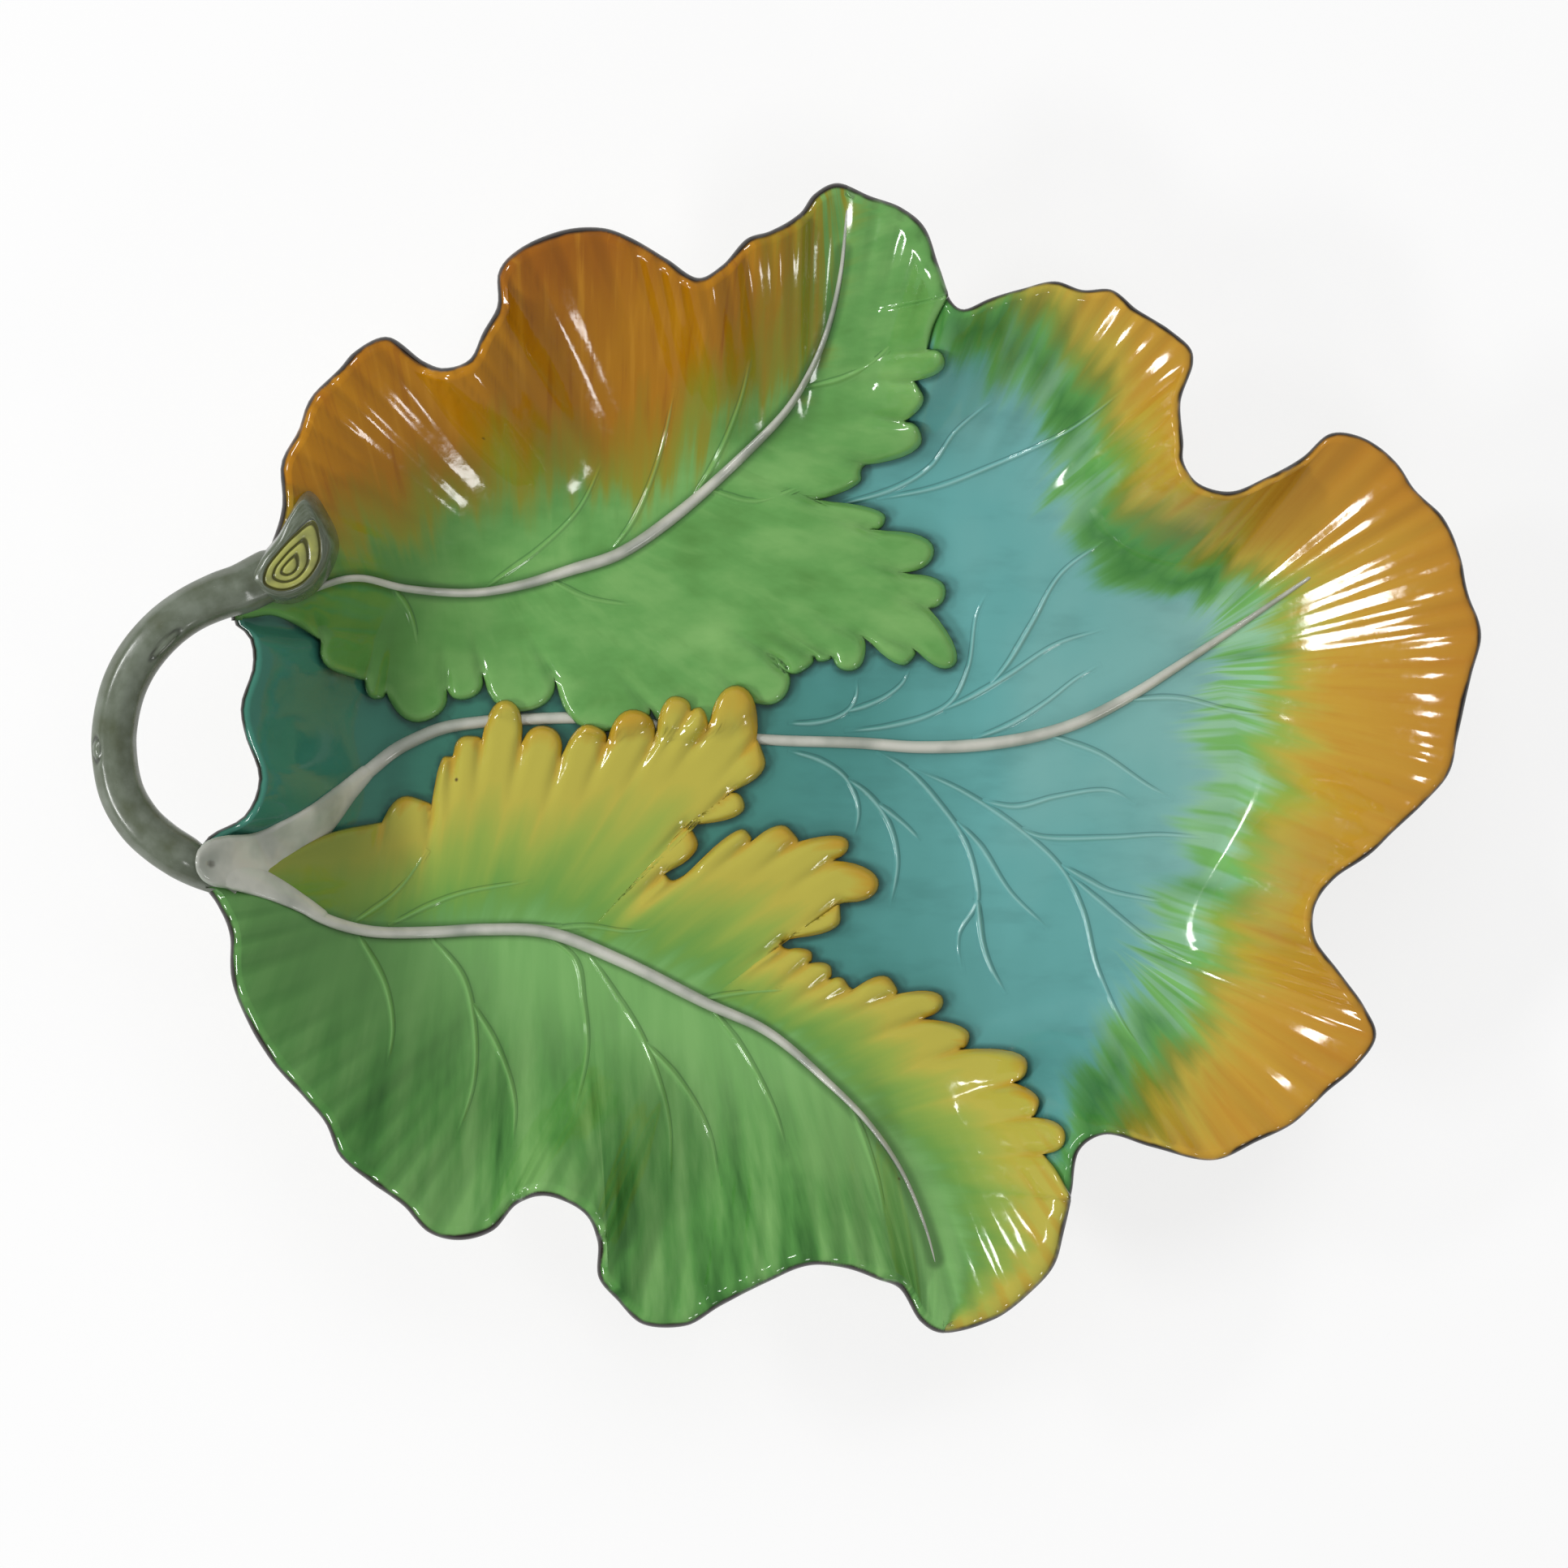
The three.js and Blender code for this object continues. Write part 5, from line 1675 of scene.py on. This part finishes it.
@dataclass
class TwigHandle:
    """The twig that makes the finger loop, with knots and furrows, and its sawn stub."""

    form: DishForm
    radius: float = 5.6
    end_radius: float = 6.4
    rise: float = 4.5
    rows: int = 260
    sides: int = 64
    knots: Sequence[tuple[float, float, float, float, float]] = (
        (-153.2, 28.2, 5.4, 1.2, 0.6), (-170.2, 2.2, 2.6, 1.6, 0.8), (-134, 42.4, 2.6, 2.4, 0.0),
    )
    knot_swell: float = 0.8
    foot_drop: float = 7.5
    stub_drop: float = 3.0
    furrow: float = 0.09
    face_tilt: tuple[float, float] = (-0.24, 0.2)
    face_middle: tuple[float, float] = (-122, 48.6)
    face_focus: tuple[float, float] = (-122.8, 46.6)
    rings: Sequence[float] = (0.28, 0.6, 0.97)
    ring_width: float = 0.07
    ring_depth: float = 0.5
    stub_rise: float = 4.6
    stub_steps: int = 180
    skirt: Points = ((1.19, 12.0), (1.16, 9.0), (1.12, 6.4), (1.08, 4.2), (1.04, 2.6), (1.0, 1.3))

    def build(self, glaze: Material) -> None:
        """Makes the twig and its stub."""
        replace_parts(self.rod(glaze), "twig_handle")
        self.stub(glaze)

    def rod(self, glaze: Material) -> Object:
        """A round rod with furrows along it and long knots that swell out of a groove round them.

        Each knot has its place in the plan, its half length, its half width and the depth of its groove.

        Args:
            glaze: Its glaze.

        Returns:
            The piece.
        """
        level = self.form.floor_top + self.form.rim_rise + self.rise
        middle = spline(TWIG, self.rows)
        along = np.linspace(0, 1, self.rows)
        drop = self.foot_drop * smooth(along, 0.16, 0.0)
        height = level - drop - self.stub_drop * smooth(along, 0.8, 1.0)
        way = headings(middle)
        cross = np.stack([-way[:, 1], way[:, 0], np.zeros(self.rows)], -1)
        turn = np.linspace(0, 2 * np.pi, self.sides, endpoint=False)[None]
        travel = (along * line_length(middle))[:, None]
        radius = lerp(self.radius, self.end_radius, smooth(along, 0.75, 0.97))[:, None]
        radius = radius * lerp(0.5, 1.0, smooth(along, 0.0, 0.14))[:, None]
        nose = np.clip((travel[-1] - travel) / self.end_radius, 0, 1)
        radius = radius * np.sqrt(1 - 0.97 * (1 - nose) ** 2)
        furrows = np.sin(5 * turn + 0.05 * travel) * np.sin(3 * turn - 0.03 * travel + 1)
        furrows = furrows + 0.5 * np.sin(9 * turn + 1.3 * np.sin(0.09 * travel))
        relief = self.furrow * furrows
        dark = 0.6 + 0.12 * furrows
        for x, y, length, width, depth in self.knots:
            gap = np.array([x, y]) - middle
            row = int(np.argmin(np.hypot(gap[:, 0], gap[:, 1])))
            side = np.arccos(np.clip(gap[row] @ cross[row, :2] / self.radius, -1, 1))
            away = (travel - travel[row]) / length
            far = np.hypot(away, np.angle(np.exp(1j * (turn - side))) * self.radius / width)
            groove = depth * np.exp(-(((far - 1.0) / 0.3) ** 2))
            relief = relief + self.knot_swell * np.exp(-(far**2)) - 0.5 * groove
            dark = dark - 0.7 * groove
        radius = radius + relief
        spoke = cross[:, None] * np.cos(turn)[..., None] + np.array([0, 0, 1]) * np.sin(turn)[..., None]
        points = stack(middle, height)[:, None] + spoke * radius[..., None]
        caps = [np.repeat(points[i].mean(0)[None], self.sides, 0)[None] for i in (0, -1)]
        points = np.concatenate([caps[0], points, caps[1]])
        dark = np.pad(np.broadcast_to(dark, radius.shape), ((1, 1), (0, 0)), mode="edge")
        flow = np.stack(np.broadcast_arrays(travel / 10, turn * 0.55, 0.0 * turn), -1)
        flow = np.pad(flow, ((1, 1), (0, 0), (0, 0)), mode="edge")
        layers = {Layer.FLOW: flow, Layer.CREST: dark}
        return make_piece("twig_rod", points, Facing.OUT, layers, glaze, True)

    def stub(self, glaze: Material) -> None:
        """The sawn stub: a mound with a slanting face, cut by growth rings of its own outline.

        Args:
            glaze: Its glaze.
        """
        bark_edge, face = (spline(line, self.stub_steps, closed=True) for line in (STUB, FACE))
        centre, focus = np.asarray(self.face_middle), np.asarray(self.face_focus)
        top = self.form.floor_top + self.form.rim_rise + self.rise + self.stub_rise
        skirt = np.array(self.skirt)
        border, inner = np.linspace(0, 1, 10)[1:], np.linspace(1, 0, 60)[1:]
        plan = np.concatenate([
            centre + (bark_edge - centre) * skirt[:, :1, None],
            lerp(bark_edge, face, border[:, None, None]),
            focus + (face - focus) * inner[:, None, None],
        ])
        share = np.concatenate([1 + skirt[:, 0], 2 - border, inner])
        drop = np.concatenate([skirt[:, 1], skirt[-1, 1] * (1 - border) ** 2, np.zeros(len(inner))])
        tilt = (plan - centre) @ np.asarray(self.face_tilt)
        groove = sum(np.exp(-(((share - ring) / self.ring_width) ** 2)) for ring in self.rings)
        height = top + tilt - (drop + self.ring_depth * groove - 0.4 * smooth(share, 0.6, 0.0))[:, None]
        shape = height.shape
        bark = 0.75 - 0.65 * np.exp(-(((share - 1.1) / 0.09) ** 2))
        turn = np.linspace(0, 12, self.stub_steps)[None]
        layers = {
            Layer.FLOW: np.stack(np.broadcast_arrays(turn, share[:, None] * 4, 0.0 * turn), -1),
            Layer.CREST: np.broadcast_to(bark[:, None], shape),
            Layer.PAINT: np.broadcast_to((share < 1.03)[:, None] * 1.0, shape),
            Layer.RIDGE: np.broadcast_to(groove[:, None], shape),
        }
        make_piece("twig_stub", stack(plan, height), Facing.UP, layers, glaze, True)


@dataclass
class FootRing:
    """The low oval ring that the dish stands on: a rounded profile carried round the floor's edge."""

    form: DishForm
    width: float = 6.0
    slant: float = 1.0
    inset: float = 13.0
    columns: int = 240

    def build(self, glaze: Material) -> None:
        """Makes the ring from half a section and its mirror image.

        Args:
            glaze: Its glaze.
        """
        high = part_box("foot_ring")[1].z / MM
        half, sole = self.width / 2, self.width / 2 - self.slant
        corners = [(-half - 1.4, high + 0.6), (-half - 0.3, high - 0.4), (-half, high - 1.6)]
        corners += [(-sole - 0.1, 0.8), (-sole + 0.5, 0.0)]
        corners += [(-x, z) for x, z in corners[::-1]]
        section = spline(corners, 48)
        section[:, 1] = np.maximum(section[:, 1], 0.0)
        angle = np.linspace(-np.pi, np.pi, self.columns, endpoint=False)
        middle = self.form.floor_edge(angle, self.inset)
        reach = middle[None] + section[:, :1]
        plan = np.stack([reach * np.cos(angle), reach * np.sin(angle)], -1)
        points = stack(plan, np.broadcast_to(section[:, 1:], reach.shape))
        far = {Layer.RIM: np.full(reach.shape, 40.0)}
        piece = make_piece("foot_ring_band", points, Facing.DOWN, far, glaze, True)
        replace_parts(piece, "foot_ring")


@dataclass
class Studio:
    """A white floor, soft light and the camera straight above the dish."""

    frame_width: float = 0.3864
    frame_middle: tuple[float, float] = (-0.001, -0.0063)
    rim_level: float = 0.045
    distance: float = 3.4
    sensor: float = 36.0
    floor_side: float = 6.0
    floor_colour: tuple[float, float, float, float] = (0.9, 0.9, 0.9, 1.0)
    floor_glow: float = 0.78
    sky_light: float = 0.36

    def build(self) -> None:
        """Makes the floor, the lights, the world and the camera."""
        self.floor()
        self.lamp("window", (-1.36, -0.5, 1.02), 0.6, 0.2, 12.0)
        self.lamp("far_window", (-1.3, 0.62, 1.1), 0.4, 0.2, 7.0)
        self.lamp("fill", (0.83, -1.27, 0.95), 0.2, 0.24, 2.2)
        self.lamp("skylight", (0.35, 1.3, 1.7), 2.0, 1.2, 15.0).visible_glossy = False
        self.world()
        self.camera()

    def floor(self) -> None:
        """A pale floor that shows white to the camera and still takes the dish's shadow."""
        mesh = bpy.data.meshes.new("floor")
        side = self.floor_side
        corners = [(-side, -side, 0), (side, -side, 0), (side, side, 0), (-side, side, 0)]
        mesh.from_pydata(corners, [], [(0, 1, 2, 3)])
        floor = bpy.data.objects.new("floor", mesh)
        bpy.context.scene.collection.objects.link(floor)
        bench = GlazeBench("floor_paper")
        shade = bench.node("ShaderNodeBsdfDiffuse", {"Color": self.floor_colour})
        glow = bench.node("ShaderNodeEmission")
        rays = bench.node("ShaderNodeLightPath").outputs
        seen = bench.math("MAXIMUM", rays["Is Camera Ray"], rays["Is Glossy Ray"])
        seen = bench.times(bench.math("MAXIMUM", seen, rays["Is Transmission Ray"]), self.floor_glow)
        mix = bench.node("ShaderNodeMixShader", {0: seen, 1: shade.outputs[0], 2: glow.outputs[0]})
        bench.node("ShaderNodeOutputMaterial", {"Surface": mix.outputs[0]})
        mesh.materials.append(bench.material)

    def lamp(
        self, name: str, place: tuple[float, float, float], width: float, height: float, power: float
    ) -> Object:
        """A soft rectangular lamp that points at the dish.

        Args:
            name: Its name.
            place: Where it hangs.
            width: Its width.
            height: Its height.
            power: Its power in watts.

        Returns:
            The lamp.
        """
        data = bpy.data.lights.new(name, "AREA")
        data.shape, data.size, data.size_y, data.energy = "RECTANGLE", width, height, power
        lamp = bpy.data.objects.new(name, data)
        lamp.location = place
        lamp.rotation_euler = (Vector((0, 0, 0.02)) - Vector(place)).to_track_quat("-Z", "Y").to_euler()
        bpy.context.scene.collection.objects.link(lamp)
        return lamp

    def world(self) -> None:
        """An even white sky: bright to the camera, softer as light."""
        world = bpy.data.worlds.new("studio")
        world.use_nodes = True
        tree = world.node_tree
        sky = tree.nodes["Background"]
        sky.inputs["Color"].default_value = (1, 1, 1, 1)
        path = tree.nodes.new("ShaderNodeLightPath")
        level = tree.nodes.new("ShaderNodeMapRange")
        level.inputs["To Min"].default_value = self.sky_light
        level.inputs["To Max"].default_value = 1.0
        tree.links.new(path.outputs["Is Camera Ray"], level.inputs["Value"])
        tree.links.new(level.outputs[0], sky.inputs["Strength"])
        bpy.context.scene.world = world

    def camera(self) -> None:
        """A long lens straight above the dish, with +Y up in the picture."""
        data = bpy.data.cameras.new("camera")
        data.sensor_width = self.sensor
        data.lens = self.sensor * self.distance / self.frame_width
        data.clip_end = 50.0
        camera = bpy.data.objects.new("camera", data)
        camera.location = (*self.frame_middle, self.rim_level + self.distance)
        bpy.context.scene.collection.objects.link(camera)
        bpy.context.scene.camera = camera
        bpy.context.scene.view_settings.view_transform = "Standard"


def build_dish() -> None:
    """Builds every piece of the dish in order."""
    form = DishForm()
    turquoise, white = TurquoiseGlaze().material(), WhiteGlaze().material()
    upper_glaze, lower_glaze = UpperLeafGlaze().material(), LowerLeafGlaze().material()
    twig, cream = TwigGlaze().material(), CreamGlaze().material()
    upper = BrownedLeaf(
        form, "upper_leaf", "upper_leaf_glaze", UPPER_TEETH, UPPER_LEAD, UPPER_TRAIL,
        [UPPER_LEAD[0], (-128, 38.6), *UPPER_RIB[1:], (14.6, 141.3)], UPPER_PAIRS, -1.0,
    )
    lower = OverlaidLeaf(
        form, "lower_leaf", "lower_leaf_glaze", LOWER_TEETH, LOWER_LEAD, LOWER_TRAIL,
        [LOWER_LEAD[0], (-133, -31.6), *LOWER_RIB, (38.5, -141.3)], LOWER_PAIRS, 1.0, over=upper,
    )
    edges = [np.vstack([dense(leaf.lobes()[0]), spline(leaf.lead, 120)]) for leaf in (upper, lower)]
    pools = np.vstack([*edges, spline(TURQUOISE_RIB, 300), spline(STALK_MAIN, 60)])
    leaf = TurquoiseLeaf(form)
    leaf.build(turquoise, cream, pools)
    upper.build(upper_glaze)
    lower.build(lower_glaze)
    ridges = Ridges(form)
    for rib in RIBS:
        ridges.rib(rib, white)
    ridges.veins("turquoise_vein", TURQUOISE_VEINS, leaf, turquoise, pools, 0.7)
    ridges.veins("upper_vein", UPPER_VEINS, upper, upper_glaze, pools, 0.55)
    ridges.veins("lower_vein", LOWER_VEINS, lower, lower_glaze, pools, 0.6)
    TwigHandle(form).build(twig)
    FootRing(form).build(cream)


def main() -> None:
    """Builds the dish and its studio."""
    logging.basicConfig(level=logging.INFO, format="%(message)s")
    build_dish()
    Studio().build()


if __name__ == "__main__":
    main()
